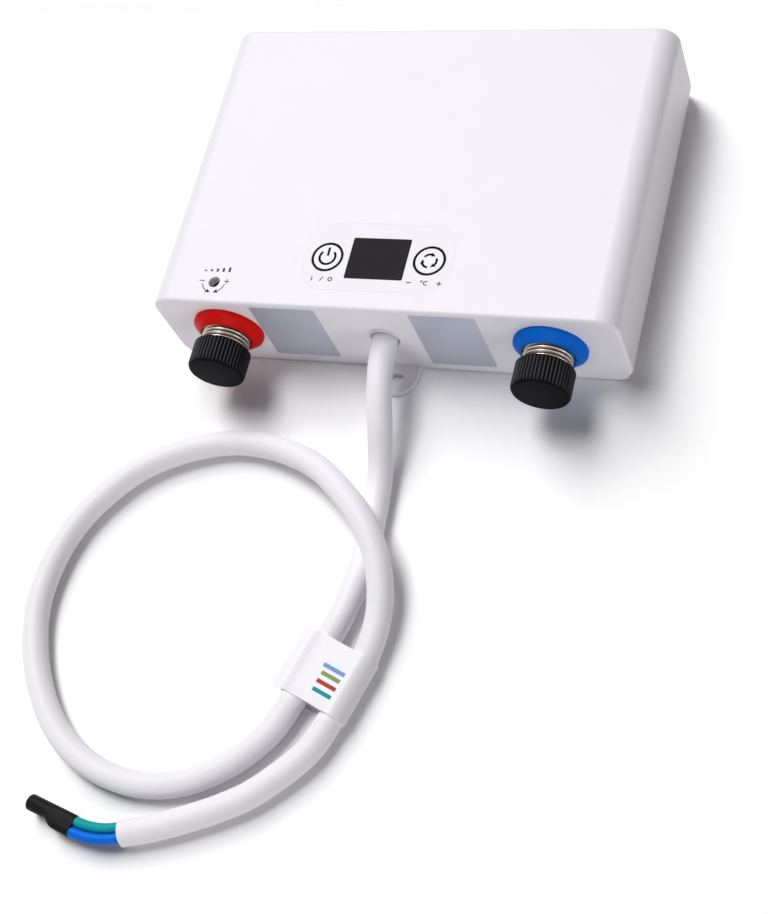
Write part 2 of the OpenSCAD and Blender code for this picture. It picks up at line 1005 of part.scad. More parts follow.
module power_board_screws() {
    color("silver")
    for (sx = [-1, 1], y = board_post_y)
        translate([sx * board_post_x, y, board_z])
            screw(board_head_r, board_head_h, board_pin_r, board_t + board_pin_l);
}

module relay() {
    color("mediumblue")
    translate([22, board_y0 + 10, board_top])
        cube([16, 20, 15]);
}

// Finned block that cools the triac
module heat_sink() {
    color("silver")
    translate([-38, board_y0 + 14, board_top]) {
        cube([22, 4, 15]);
        for (i = [0:4])
            translate([i * 5, 0, 0])
                cube([2, 14, 15]);
    }
}

module triac() {
    color("black")
    translate([-32, board_y0 + 14 - 4.6, board_top])
        cube([10, 4.6, 14]);
}

// Terminal block with one bore for each core
module terminal_block() {
    color("seashell")
    difference() {
        translate([-12, block_y0, board_top])
            cube([24, block_l, gland_z + 6 - board_top]);
        for (i = [0:2])
            outwards(core_x(i) * block_pitch / core_c, block_y0 + 7, core_z(i))
                cylinder(h = 8, r = core_r + 0.1);
        for (i = [-1:1])
            translate([i * block_pitch, block_y0 + 6, gland_z + 4])
                cylinder(h = 3, r = 1.6);
    }
}

// Place of each core in the cord's section: two above, one below
function core_x(i) = [-core_c * cos(30), core_c * cos(30), 0][i];
function core_z(i) = gland_z + [core_c / 2, core_c / 2, -core_c][i];

module cord_gland() {
    color("white")
    difference() {
        outwards(0, port_y, gland_z) {
            cylinder(h = gland_out, r1 = cord_r + 2.1, r2 = cord_r + 1.7);
            translate([0, 0, -wall - 0.2])
                cylinder(h = wall + 0.4, r = cord_r + 1.5);
            translate([0, 0, -wall - 2.4])
                cylinder(h = 2.4, r = cord_r + 3.4);
        }
        outwards(0, port_y + wall + 3, gland_z)
            cylinder(h = wall + gland_out + 4, r = cord_r + tail_gap);
        outwards(0, gland_y, gland_z)
            translate([0, 0, -mouth_in])
                cylinder(h = mouth_in + eps, r1 = cord_r + tail_gap, r2 = cord_r + 1.1);
    }
}

// Jacket of the cord from the gland's mouth to the strain relief
module cord_tail() {
    color("white")
    outwards(0, tail_end, gland_z)
        ring(cord_r, core_c + core_r + 0.1, tail_end - gland_y);
}

// Cores from the jacket to the terminal block
module inner_cores() {
    for (i = [0:2]) {
        a = [core_x(i), tail_end - 8, core_z(i)];
        b = [core_x(i), tail_end + 1, core_z(i)];
        c = [core_x(i) * block_pitch / core_c, block_y0 - 2, core_z(i)];
        d = [core_x(i) * block_pitch / core_c, block_y0 + 5, core_z(i)];
        color(["green", "blue", "brown"][i])
        union() {
            rod(a, b, core_r);
            rod(b, c, core_r);
            rod(c, d, core_r);
        }
    }
}

module cord_clamp() {
    color("white")
    difference() {
        translate([-sad_hw, sad_y0, gland_z - sad_drop])
            cube([2 * sad_hw, sad_l, sad_drop - 0.3]);
        outwards(0, sad_y0 + sad_l + eps, gland_z)
            cylinder(h = sad_l + 2 * eps, r = cord_r + tail_gap);
        for (s = [-1, 1])
            translate([s * sad_pin, sad_y0 + sad_l / 2, gland_z - sad_drop - 1])
                cylinder(h = sad_drop + 2, r = clamp_r + 0.2);
    }
}

module clamp_screws() {
    color("silver")
    for (s = [-1, 1])
        translate([s * sad_pin, sad_y0 + sad_l / 2, gland_z - sad_drop])
            screw(clamp_head_r, clamp_head_h, clamp_r, clamp_l);
}

// Smooth curve through the route
function route_at(i) = route[min(max(i, 0), last)];
function curve(i, t) = let (
    a = route_at(i - 1), b = route_at(i), c = route_at(i + 1), d = route_at(i + 2)
) 0.5 * (2 * b + (c - a) * t + (2 * a - 5 * b + 4 * c - d) * t * t + (3 * b - a - 3 * c + d) * t * t * t);
line = concat([for (i = [0:last - 1], k = [0:steps - 1]) curve(i, k / steps)], [route[last]]);
count = len(line);
function unit(v) = v / norm(v);
function heading(i) =
    i == 0 ? [0, -1, 0]
    : i == count - 1 ? unit([end_dir[0], end_dir[1], 0])
    : unit(line[i + 1] - line[i - 1]);
function cord_ring(i) = let (
    t = heading(i), s = unit(cross(t, [0, 0, 1])), u = cross(s, t)
) [for (k = [0:sides - 1]) line[i] + cord_r * (cos(k * 360 / sides) * s + sin(k * 360 / sides) * u)];
cord_pts = [for (i = [0:count - 1]) each cord_ring(i)];
cord_faces = concat(
    [[for (k = [0:sides - 1]) k]],
    [for (i = [0:count - 2], k = [0:sides - 1])
        [i * sides + k, (i + 1) * sides + k, (i + 1) * sides + (k + 1) % sides, i * sides + (k + 1) % sides]],
    [[for (k = [sides - 1:-1:0]) (count - 1) * sides + k]]
);
apart = [for (i = [0:count - 1], j = [i + 10:1:count - 1]) norm(line[i] - line[j])];
echo(cord_length = norm_sum(0), least_gap_to_itself = min(apart) - cord_d);
function norm_sum(i) = i >= count - 1 ? 0 : norm(line[i + 1] - line[i]) + norm_sum(i + 1);

module supply_cord() {
    color("white")
    polyhedron(points = cord_pts, faces = cord_faces, convexity = 8);
}

// Film wrapped round two strands, its ends joined to a flag
module cord_tag() {
    a = route[tag_a];
    b = route[tag_b];
    v = unit(route[tag_a + 1] - route[tag_a - 1]);
    u = [-v[1], v[0], 0];
    half = abs((b - a) * u) / 2;
    ri = cord_r + tag_gap;
    color("white")
    translate((a + b) / 2)
        rotate([0, 0, atan2(v[1], v[0]) + 90])
            rotate([90, 0, 0])
                translate([0, 0, -tag_l / 2])
                    linear_extrude(tag_l)
                        union() {
                            difference() {
                                union() {
                                    square([2 * half, 2 * (ri + tag_t)], center = true);
                                    for (s = [-1, 1])
                                        translate([s * half, 0])
                                            circle(ri + tag_t);
                                }
                                square([2 * half, 2 * ri], center = true);
                                for (s = [-1, 1])
                                    translate([s * half, 0])
                                        circle(ri);
                            }
                            translate([-half - ri - tag_t / 2 - tag_flag, -tag_t])
                                square([tag_flag, 2 * tag_t]);
                        }
}

// Frame at the end of the jacket: x runs to the inside of the bend, y along the cores
module core_place() {
    translate(end_pt)
        rotate([0, 0, end_turn - 90])
            children();
}

// One core: bent stretch between jacket and sleeve, then a straight end inside the sleeve
module core(x, z) {
    core_place()
        translate([fan_r, 0, 0]) {
            rotate([0, 0, 180 - fan_a])
                rotate_extrude(angle = fan_a)
                    translate([fan_r - x, z])
                        circle(core_r);
            rotate([0, 0, 180 - fan_a])
                translate([fan_r - x, 0, z])
                    rotate([90, 0, 0])
                        cylinder(h = core_in, r = core_r);
        }
}

module core_green() {
    color("teal")
    core(core_c * cos(30), core_c / 2);
}

module core_blue() {
    color("steelblue")
    core(-core_c * cos(30), core_c / 2);
}

module core_brown() {
    color("saddlebrown")
    core(0, -core_c);
}

// Heat-shrunk sleeve: wide over the cores, slim beyond them, closed tip
module end_sleeve() {
    color("black")
    core_place()
        translate([fan_r, 0, 0])
            rotate([0, 0, 180 - fan_a])
                translate([fan_r, 0, 0])
                    rotate([90, 0, 0])
                        difference() {
                            rotate_extrude()
                                polygon([
                                    [0, 0.2], [sleeve_wide, 0.2], [sleeve_wide, sleeve_l1],
                                    [sleeve_slim, sleeve_l1 + 2.5], [sleeve_slim, sleeve_l2 - 0.6],
                                    [sleeve_slim - 0.6, sleeve_l2], [0, sleeve_l2]
                                ]);
                            cylinder(h = core_in + 0.1, r = core_c + core_r + 0.05);
                        }
}

front_cover();
back_plate();
cover_screws();
control_overlay();
display_window();
power_button();
temperature_button();
power_plunger();
temperature_plunger();
key_switches();
display_board();
digit_display();
display_board_screws();
hot_fitting();
cold_fitting();
hot_port_gasket();
cold_port_gasket();
hot_ring();
cold_ring();
hot_cap();
cold_cap();
hot_cap_washer();
cold_cap_washer();
flow_adjust_screw();
valve_seal();
valve_nut();
inlet_filter();
turbine_cage();
turbine_retainer();
flow_turbine();
flow_sensor();
pipe_seals();
tank_tray();
tank_seal();
tank_lid();
tank_screws();
heating_elements();
element_seals();
thermal_cutout();
temperature_sensor();
power_board();
power_board_screws();
relay();
triac();
heat_sink();
terminal_block();
cord_gland();
cord_tail();
inner_cores();
cord_clamp();
clamp_screws();
supply_cord();
cord_tag();
core_green();
core_blue();
core_brown();
end_sleeve();
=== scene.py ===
import json
import math

import bmesh
import bpy
from mathutils import Matrix, Vector


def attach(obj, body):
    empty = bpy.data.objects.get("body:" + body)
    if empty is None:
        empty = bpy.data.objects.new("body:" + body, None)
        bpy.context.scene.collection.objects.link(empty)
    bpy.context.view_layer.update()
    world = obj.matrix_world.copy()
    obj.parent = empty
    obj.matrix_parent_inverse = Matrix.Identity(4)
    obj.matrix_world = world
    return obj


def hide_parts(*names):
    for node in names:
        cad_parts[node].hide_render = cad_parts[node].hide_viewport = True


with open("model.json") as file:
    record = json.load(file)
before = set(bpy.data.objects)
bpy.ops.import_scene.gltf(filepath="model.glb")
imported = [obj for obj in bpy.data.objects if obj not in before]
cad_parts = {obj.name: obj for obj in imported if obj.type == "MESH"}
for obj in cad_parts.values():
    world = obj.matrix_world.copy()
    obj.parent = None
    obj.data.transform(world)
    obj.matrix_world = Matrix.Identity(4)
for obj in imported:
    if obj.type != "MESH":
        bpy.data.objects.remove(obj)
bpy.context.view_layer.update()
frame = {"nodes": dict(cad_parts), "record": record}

bl_info = {
    "name": "Wall water heater",
    "version": (1, 0, 0),
    "blender": (4, 5, 0),
    "location": "View3D > Sidebar > Heater",
    "description": "Dresses the solids of a small wall water heater: ports, caps, signs, finishes and supply cord",
    "category": "Object",
}

MM = 0.001

# Places of the solids that the pieces sit on, in millimetres
FACE_Y = -72.7
FRONT_Z = 45.7
PORT_X, PORT_Z = 72.3, 24.8
GLAND_Z = 23.8
PANEL_X, PANEL_Y, KEY_DX, MARKS_Y = -2.7, -47.8, 22.8, -58.6
FLOW_X, FLOW_Y = -74.2, -62.5
SCREW_X, SCREW_Y = 92.0, 63.2
PORTS = {"hot": -1, "cold": 1}

# Lengths on a port's axis, out of the port face or into it, in millimetres
NIPPLE_OUT, PIPE_IN = 19.2, 73.4
CAP_OPEN, CAP_FLOOR, CAP_TOP = 10.3, 20.7, 22.9

# Camera: its place in metres, its right and backward directions, its lens and sensor in millimetres
CAMERA_PLACE = (0.28333, -0.42504, 0.64249)
CAMERA_RIGHT = (0.92737, 0.23173, -0.29374)
CAMERA_BACK = (0.36634, -0.40293, 0.83871)
CAMERA_LENS, CAMERA_SENSOR = 85.67, 36

# Suns: direction towards the sun, strength, angle in degrees
SUNS = {
    "key": ((-0.42, 0.54, 0.73), 1.57, 30),
    "top": ((-0.25, 0.21, 0.945), 1.36, 24),
    "fill": ((-0.06, -0.98, 0.15), 0.9, 26),
    "side": ((0.86, -0.49, 0.15), 0.57, 26),
}
AMBIENT = 0.01

# Floor: colour for bounced light and as it is seen, half width and drop in metres
FLOOR_BOUNCE = (0.76, 0.76, 0.76)
FLOOR_SEEN = (1.19, 1.18, 1.19)
FLOOR_HALF, FLOOR_DROP = 4, 0.0003

# Route of the supply cord from the gland to the end of its jacket, in metres
ROUTE = [
    (0.0, -0.0735, 0.0238), (0.0007, -0.0845, 0.0234), (0.0022, -0.0965, 0.0209), (0.0037, -0.1077, 0.016),
    (0.0051, -0.1194, 0.0099), (0.0062, -0.1301, 0.0066), (0.0071, -0.1422, 0.0055), (0.008, -0.158, 0.0055),
    (0.0075, -0.173, 0.0055), (0.0055, -0.188, 0.0058), (0.002, -0.202, 0.0062), (-0.002, -0.215, 0.0062),
    (-0.006, -0.2282, 0.0062), (-0.0133, -0.2439, 0.0056), (-0.027, -0.2583, 0.0055),
    (-0.0446, -0.2681, 0.0055), (-0.065, -0.2708, 0.0055), (-0.0873, -0.2655, 0.0055),
    (-0.1076, -0.2515, 0.0055), (-0.1234, -0.2292, 0.0055), (-0.1319, -0.205, 0.0055),
    (-0.1322, -0.1832, 0.0055), (-0.127, -0.1635, 0.0055), (-0.1173, -0.1475, 0.0055),
    (-0.1036, -0.1335, 0.0055), (-0.085, -0.1234, 0.0055), (-0.064, -0.1181, 0.0056), (-0.043, -0.12, 0.007),
    (-0.022, -0.1281, 0.011), (-0.0049, -0.141, 0.0158), (0.0091, -0.155, 0.0171), (0.0181, -0.1708, 0.014),
    (0.0215, -0.189, 0.009), (0.0198, -0.2068, 0.0063), (0.016, -0.22, 0.0062), (0.012, -0.233, 0.0062),
    (0.0048, -0.249, 0.0056), (-0.011, -0.266, 0.0055), (-0.0233, -0.2744, 0.0055), (-0.0364, -0.2811, 0.0055),
    (-0.05, -0.287, 0.0055), (-0.0628, -0.2913, 0.0055),
]
# Points of the route where the tag holds both strands
TAG_A, TAG_B = 11, 34
# Radius in millimetres and angle in degrees of the bend that the cores make
CORE_BEND, CORE_TURN = 36.0, 33.0


def tone(code):
    """Linear colour of a six-digit screen colour."""
    parts = [int(code[i:i + 2], 16) / 255 for i in (0, 2, 4)]
    return tuple(p / 12.92 if p <= 0.04045 else ((p + 0.055) / 1.055) ** 2.4 for p in parts)


def length(name, description, value):
    return bpy.props.FloatProperty(
        name=name, description=description, default=value * MM, min=0, unit="LENGTH", subtype="DISTANCE", precision=5
    )


def colour(name, description, code):
    return bpy.props.FloatVectorProperty(
        name=name, description=description, default=tone(code), min=0, max=1, size=3, subtype="COLOR"
    )


class HeaterSizes(bpy.types.PropertyGroup):
    cord: length("Cord", "Diameter of the supply cord", 10.8)
    core: length("Core", "Diameter of each insulated core", 4.3)
    thread: length("Thread", "Diameter over the crests of the port thread", 20.955)
    pitch: length("Pitch", "Rise of the port thread in one turn", 1.8143)
    thread_depth: length("Thread depth", "Depth of the port thread", 1.162)
    bore: length("Bore", "Bore of the water path", 13)
    ring: length("Port ring", "Diameter of the coloured port rings", 31.2)
    cap: length("Cap", "Diameter of the port caps over their ribs", 25)
    cap_ribs: bpy.props.IntProperty(
        name="Cap ribs", description="Number of grip ribs on each cap", default=48, min=12
    )
    rib_height: length("Rib height", "Height of the grip ribs", 0.45)
    ink: length("Ink", "Thickness of the printed signs", 0.03)
    sticker: length("Sticker", "Thickness of the plain stickers on the port face", 0.12)
    film: length("Tag film", "Thickness of the film tag on the cord", 0.3)


class HeaterColours(bpy.types.PropertyGroup):
    shell: colour("Shell", "Moulded white cover", "F6F3FA")
    plate: colour("Plate", "Back plate and hanging ears", "F5F3F8")
    film: colour("Panel film", "Film of the control panel", "F7F4FB")
    lens: colour("Lens", "Display window", "201D21")
    ink: colour("Ink", "Printed signs", "0C0B0E")
    pale_ink: colour("Pale ink", "Smaller printed signs", "4A484F")
    sticker: colour("Sticker", "Plain silver stickers", "C6C8D2")
    metal: colour("Port metal", "Nickel-plated port fittings", "E4DAD0")
    # Painted shade: dark brown colour laid into the thread grooves to darken them
    groove_shade: colour("Groove shade", "Grooves of the port threads", "4A372B")
    hot: colour("Hot", "Ring of the hot port", "E4130A")
    cold: colour("Cold", "Ring of the cold port", "0070E4")
    cap: colour("Cap", "Port caps", "0D0B0F")
    cord: colour("Cord", "Jacket of the supply cord", "FCFAFF")
    tag: colour("Tag", "Film tag on the cord", "F3F1F7")
    teal: colour("Teal core", "First insulated core", "0FA6AC")
    blue: colour("Blue core", "Second insulated core", "0072E8")
    brown: colour("Brown core", "Third insulated core", "6B3A22")
    sleeve: colour("Sleeve", "Heat-shrunk sleeve on the cord's end", "1A181A")


def sizes():
    return bpy.context.scene.heater_sizes


def colours():
    return bpy.context.scene.heater_colours


class Value:
    """A number that changes over a surface; sums on it add Math nodes."""

    def __init__(self, graph, socket):
        self.graph = graph
        self.socket = socket

    def _math(self, operation, first, second):
        node = self.graph.node("ShaderNodeMath", {"operation": operation}, {0: first, 1: second})
        return Value(self.graph, node.outputs[0])

    def __add__(self, other):
        return self._math("ADD", self, other)

    def __radd__(self, other):
        return self._math("ADD", other, self)

    def __sub__(self, other):
        return self._math("SUBTRACT", self, other)

    def __rsub__(self, other):
        return self._math("SUBTRACT", other, self)

    def __mul__(self, other):
        return self._math("MULTIPLY", self, other)

    def __rmul__(self, other):
        return self._math("MULTIPLY", other, self)

    def __pow__(self, other):
        return self._math("POWER", self, other)

    def top(self, other):
        return self._math("MAXIMUM", self, other)

    def low(self, other):
        return self._math("MINIMUM", self, other)

    def over(self, other):
        return self._math("GREATER_THAN", self, other)


class Graph:
    """Node tree of a finish or of the world, filled by short calls."""

    def __init__(self, tree):
        self.tree = tree
        tree.nodes.clear()

    def node(self, kind, settings=None, inputs=None):
        node = self.tree.nodes.new(kind)
        for key, value in (settings or {}).items():
            setattr(node, key, value)
        for key, value in (inputs or {}).items():
            self.put(self.socket(node.inputs, key), value)
        return node

    def socket(self, sockets, key):
        if isinstance(key, str):
            for socket in sockets:
                if socket.identifier == key:
                    return socket
        return sockets[key]

    def put(self, socket, value):
        if isinstance(value, Value):
            value = value.socket
        if isinstance(value, bpy.types.NodeSocket):
            self.tree.links.new(value, socket)
        elif socket.type == "RGBA" and len(value) == 3:
            socket.default_value = (*value, 1)
        else:
            socket.default_value = value

    def mix(self, factor, first, second):
        node = self.node(
            "ShaderNodeMix", {"data_type": "RGBA"}, {"Factor_Float": factor, "A_Color": first, "B_Color": second}
        )
        return self.socket(node.outputs, "Result_Color")

    def seen(self):
        """1 for what the camera, a reflection or clear glass shows, 0 for bounced light."""
        path = self.node("ShaderNodeLightPath")
        camera, glossy, through = (
            Value(self, path.outputs[name]) for name in ("Is Camera Ray", "Is Glossy Ray", "Is Transmission Ray")
        )
        return camera.top(glossy).top(through)


class Finish(Graph):
    """Surface finish on one principled shader."""

    def __init__(self, name, **constants):
        self.material = bpy.data.materials.new(name)
        self.material.use_nodes = True
        super().__init__(self.material.node_tree)
        self.shader = self.node("ShaderNodeBsdfPrincipled")
        out = self.node("ShaderNodeOutputMaterial")
        self.tree.links.new(self.shader.outputs[0], out.inputs[0])
        for key, value in constants.items():
            self.set(key.replace("_", " ").title().replace("Ior", "IOR"), value)

    def set(self, name, value):
        self.put(self.shader.inputs[name], value)

    def place(self):
        """The three Object coordinates of a point, in metres."""
        where = self.node("ShaderNodeTexCoord")
        parts = self.node("ShaderNodeSeparateXYZ", None, {"Vector": where.outputs["Object"]})
        return [Value(self, socket) for socket in parts.outputs]

    def noise(self, scale, detail=2, stretch=(1, 1, 1)):
        where = self.node("ShaderNodeTexCoord")
        mapped = self.node("ShaderNodeMapping", None, {"Vector": where.outputs["Object"], "Scale": stretch})
        noise = self.node(
            "ShaderNodeTexNoise", None, {"Vector": mapped.outputs[0], "Scale": scale, "Detail": detail}
        )
        return Value(self, noise.outputs[0])

    def bump(self, height, strength, distance=0.0002):
        node = self.node("ShaderNodeBump", None, {"Strength": strength, "Distance": distance, "Height": height})
        self.set("Normal", node.outputs[0])


def shade(rgb, factor):
    return tuple(min(1, c * factor) for c in rgb)


def moulded(name, rgb, rough, grain=900, skin=0.04, drift=0.02, **constants):
    """Moulded plastic: slow drift of tone, uneven gloss and a fine skin."""
    f = Finish(name, **constants)
    f.set("Base Color", f.mix(f.noise(22, 2), shade(rgb, 1 - drift), shade(rgb, 1 + drift / 2)))
    f.set("Roughness", rough - 0.05 + 0.1 * f.noise(160, 4))
    f.bump(f.noise(grain, 3), skin)
    return f.material


def plated(name, rgb, rough, streak=(1, 1, 1), stain=0.12):
    """Metal: fine tool streaks and slightly stained patches."""
    f = Finish(name, metallic=1.0)
    patches = f.noise(90, 3)
    f.set("Base Color", f.mix(patches, shade(rgb, 1 - stain), rgb))
    f.set("Roughness", rough + 0.12 * f.noise(420, 4, streak) - 0.04 * patches)
    f.bump(f.noise(700, 2, streak), 0.03)
    return f.material


def threaded(name, rgb, groove_shade):
    """Plated thread: bright crests, grooves darkened by a painted brown shade, and fine tool streaks."""
    f = Finish(name, metallic=1.0)
    x, y, z = f.place()
    across, up = (x * x) ** 0.5 - PORT_X * MM, z - PORT_Z * MM
    radius = (across * across + up * up) ** 0.5
    crest, depth = sizes().thread / 2, sizes().thread_depth
    groove = ((crest - radius) * (1 / depth)).top(0).low(1)
    groove = groove * radius.over(crest - 2 * depth) * y.over((FACE_Y - NIPPLE_OUT + 0.2) * MM)
    patches = f.noise(90, 3)
    # Painted shade: the deeper part of each groove takes the dark brown colour
    f.set("Base Color", f.mix(groove, f.mix(patches, shade(rgb, 0.88), rgb), groove_shade))
    f.set("Roughness", 0.2 + 0.25 * groove + 0.12 * f.noise(420, 4, (1, 6, 1)))
    f.bump(f.noise(700, 2, (1, 6, 1)), 0.03)
    return f.material


def silver_sticker(name, rgb):
    """Metallised sticker: lengthwise brushing and a slow cool-to-warm change."""
    f = Finish(name, specular_ior_level=0.5)
    slow = f.noise(30, 1)
    brush = f.noise(260, 3, (0.08, 1, 1))
    cool = tuple(c * k for c, k in zip(rgb, (0.86, 0.93, 1.0)))
    f.set("Base Color", f.mix(slow * 0.7 + brush * 0.3, cool, rgb))
    f.set("Metallic", 0.25 + 0.2 * brush)
    f.set("Roughness", 0.34 + 0.16 * brush)
    f.bump(brush, 0.03)
    return f.material


def jacket(name, rgb, rough, gloss=0.3):
    """Soft cord jacket: faint waviness from the cores, a slow drift of tone and a soft gloss."""
    f = Finish(name, specular_ior_level=gloss)
    f.set("Base Color", f.mix(f.noise(45, 3), shade(rgb, 0.975), rgb))
    f.set("Roughness", rough + 0.12 * f.noise(300, 3))
    f.bump(f.noise(130, 3) * 0.8 + f.noise(1400, 2) * 0.2, 0.14)
    return f.material


def clear_film(name, rgb, rough):
    """Printed film with a clear top coat that waves a little."""
    f = Finish(name, coat_weight=0.04, coat_roughness=0.2, specular_ior_level=0.3)
    f.set("Base Color", f.mix(f.noise(60, 2), shade(rgb, 0.985), rgb))
    f.set("Roughness", rough + 0.08 * f.noise(240, 3))
    f.bump(f.noise(110, 2), 0.08)
    return f.material


def circuit(name, rgb):
    """Board with solder-masked tracks."""
    f = Finish(name)
    tracks = f.node("ShaderNodeTexVoronoi", {"distance": "MANHATTAN", "feature": "F1"}, {"Scale": 320.0})
    f.set("Base Color", f.mix(Value(f, tracks.outputs[0]) * 0.8, rgb, shade(rgb, 2.2)))
    f.set("Roughness", 0.35 + 0.15 * f.noise(500, 2))
    f.bump(Value(f, tracks.outputs[0]), 0.1)
    return f.material


def rubber(name, rgb):
    f = Finish(name, specular_ior_level=0.35)
    dust = f.noise(130, 4)
    f.set("Base Color", f.mix(dust, rgb, shade(rgb, 1.6)))
    f.set("Roughness", 0.62 + 0.2 * dust)
    f.bump(f.noise(1600, 2), 0.08)
    return f.material


MAKERS = {
    "white_shell": lambda n: moulded(n, colours().shell, 0.4, skin=0.03, drift=0.012, specular_ior_level=0.35),
    "white_plate": lambda n: moulded(n, colours().plate, 0.5, skin=0.05, drift=0.015, specular_ior_level=0.3),
    "panel_film": lambda n: clear_film(n, colours().film, 0.38),
    "black_lens": lambda n: moulded(
        n, colours().lens, 0.4, grain=300, skin=0.01, drift=0.08, ior=1.35, specular_ior_level=0.06
    ),
    "key_white": lambda n: clear_film(n, colours().film, 0.34),
    # The thread grooves get a painted brown shade
    "port_metal": lambda n: threaded(n, colours().metal, colours().groove_shade),
    "screw_steel": lambda n: plated(n, tone("C9C9CC"), 0.25),
    "hot_red": lambda n: moulded(n, colours().hot, 0.42, grain=700, drift=0.06, specular_ior_level=0.08),
    "cold_blue": lambda n: moulded(n, colours().cold, 0.42, grain=700, drift=0.06, specular_ior_level=0.08),
    "cap_black": lambda n: moulded(
        n, colours().cap, 0.46, grain=1300, skin=0.12, drift=0.15, ior=1.3, specular_ior_level=0.06
    ),
    "rib_black": lambda n: moulded(
        n, colours().cap, 0.34, grain=1300, skin=0.1, drift=0.15, specular_ior_level=0.19
    ),
    "seal_rubber": lambda n: rubber(n, tone("1E1E1F")),
    "cord_white": lambda n: jacket(n, colours().cord, 0.4),
    "tag_film": lambda n: clear_film(n, colours().tag, 0.28),
    "core_teal": lambda n: jacket(n, colours().teal, 0.34, 0.1),
    "core_blue": lambda n: jacket(n, colours().blue, 0.34, 0.1),
    "core_brown": lambda n: jacket(n, colours().brown, 0.34, 0.1),
    "sleeve_black": lambda n: moulded(
        n, colours().sleeve, 0.42, grain=420, skin=0.12, drift=0.15, ior=1.4, specular_ior_level=0.08
    ),
    "tank_metal": lambda n: plated(n, tone("B9BBBE"), 0.42, stain=0.25),
    "element_steel": lambda n: plated(n, tone("A9A6A2"), 0.3, (1, 0.2, 1)),
    "brass_parts": lambda n: plated(n, tone("C8A25A"), 0.26),
    "board_green": lambda n: circuit(n, tone("0E5A36")),
    "dark_parts": lambda n: moulded(n, tone("1A1A1C"), 0.5, drift=0.12, specular_ior_level=0.15),
    "relay_blue": lambda n: moulded(n, tone("1F4E9E"), 0.4, drift=0.08),
    "inner_white": lambda n: moulded(n, tone("E6E4E0"), 0.45, drift=0.03),
    "turbine_blue": lambda n: moulded(n, tone("2E62B8"), 0.4, drift=0.08),
    "ink": lambda n: moulded(
        n, colours().ink, 0.5, grain=1800, skin=0.05, drift=0.2, ior=1.3, specular_ior_level=0.05
    ),
    "pale_ink": lambda n: moulded(
        n, colours().pale_ink, 0.5, grain=1800, skin=0.05, drift=0.1, ior=1.3, specular_ior_level=0.05
    ),
    "silver_sticker": lambda n: silver_sticker(n, colours().sticker),
    "stripe_sky": lambda n: moulded(n, tone("7FA8E0"), 0.45, drift=0.15, specular_ior_level=0.1),
    "stripe_olive": lambda n: moulded(n, tone("8CA860"), 0.45, drift=0.15, specular_ior_level=0.1),
    "stripe_red": lambda n: moulded(n, tone("B8402F"), 0.45, drift=0.12, specular_ior_level=0.1),
    "stripe_teal": lambda n: moulded(n, tone("0098A8"), 0.45, drift=0.12, specular_ior_level=0.1),
}


def finish(name):
    """Finish of that name, made when it is first asked for."""
    return bpy.data.materials.get("heater_" + name) or MAKERS[name]("heater_" + name)


def port_frame(side):
    """Frame on a port's axis: z runs out of the port face."""
    return Matrix(((1, 0, 0, side * PORT_X), (0, 0, -1, FACE_Y), (0, 1, 0, PORT_Z), (0, 0, 0, 1)))


def dress(obj, body, crease=35):
    """Closes and smooths the mesh, then hands the piece to its body."""
    work = bmesh.new()
    work.from_mesh(obj.data)
    bmesh.ops.remove_doubles(work, verts=work.verts, dist=2e-6)
    bmesh.ops.recalc_face_normals(work, faces=work.faces)
    work.to_mesh(obj.data)
    work.free()
    obj.data.shade_smooth()
    obj.data.set_sharp_from_angle(angle=math.radians(crease))
    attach(obj, body)
    return obj


def piece(name, shape, look, body, place=Matrix(), crease=35):
    """Piece at the origin; its corners come in millimetres in the frame of place."""
    verts, faces = shape
    mesh = bpy.data.meshes.new(name)
    mesh.from_pydata([tuple((place @ Vector(v)) * MM) for v in verts], [], faces)
    mesh.materials.append(finish(look))
    obj = bpy.data.objects.new(name, mesh)
    bpy.context.scene.collection.objects.link(obj)
    return dress(obj, body, crease)


def joined(*shapes):
    verts, faces = [], []
    for more, rings in shapes:
        base = len(verts)
        verts += more
        faces += [[base + i for i in ring] for ring in rings]
    return verts, faces


def skin(rows, loop=False, caps=False):
    """Shape over rows of points; a row of one point closes to that point."""
    verts, index, faces = [], [], []
    for row in rows:
        index.append(list(range(len(verts), len(verts) + len(row))))
        verts += row
    pairs = list(zip(index, index[1:])) + ([(index[-1], index[0])] if loop else [])
    for a, b in pairs:
        count = max(len(a), len(b))
        for k in range(count):
            m = (k + 1) % count
            ring = [a[k % len(a)], a[m % len(a)], b[m % len(b)], b[k % len(b)]]
            ring = list(dict.fromkeys(ring))
            if len(ring) > 2:
                faces.append(ring)
    if caps:
        faces += [index[0][::-1], index[-1]]
    return verts, faces


def eased(corners, steps=5):
    """Outline from (x, y) or (x, y, radius) corners, the latter rounded off."""
    out = []
    for i, corner in enumerate(corners):
        here = Vector(corner[:2])
        if len(corner) < 3:
            out.append(tuple(here))
            continue
        back = (Vector(corners[i - 1][:2]) - here).normalized()
        on = (Vector(corners[(i + 1) % len(corners)][:2]) - here).normalized()
        half = back.angle(on) / 2
        middle = here + (back + on).normalized() * corner[2] / math.sin(half)
        first = here + back * corner[2] / math.tan(half) - middle
        last = here + on * corner[2] / math.tan(half) - middle
        turn = math.atan2(first.x * last.y - first.y * last.x, first.dot(last))
        for k in range(steps + 1):
            a = turn * k / steps
            out.append((
                middle.x + first.x * math.cos(a) - first.y * math.sin(a),
                middle.y + first.x * math.sin(a) + first.y * math.cos(a),
            ))
    return out


def circle(sides):
    """Cosine and sine of evenly spread turns."""
    turns = [2 * math.pi * k / sides for k in range(sides)]
    return [(math.cos(a), math.sin(a)) for a in turns]


def turned(outline, sides=96):
    """Solid turned about z from (radius, height) points."""
    rows = []
    for r, z in outline:
        if r < 1e-6:
            rows.append([(0, 0, z)])
        else:
            rows.append([(r * c, r * d, z) for c, d in circle(sides)])
    return skin(rows, loop=outline[0][0] > 1e-6)


def slab(outline, low, high):
    """Flat plate with that outline between two heights."""
    return skin([[(x, y, z) for x, y in outline] for z in (low, high)], caps=True)


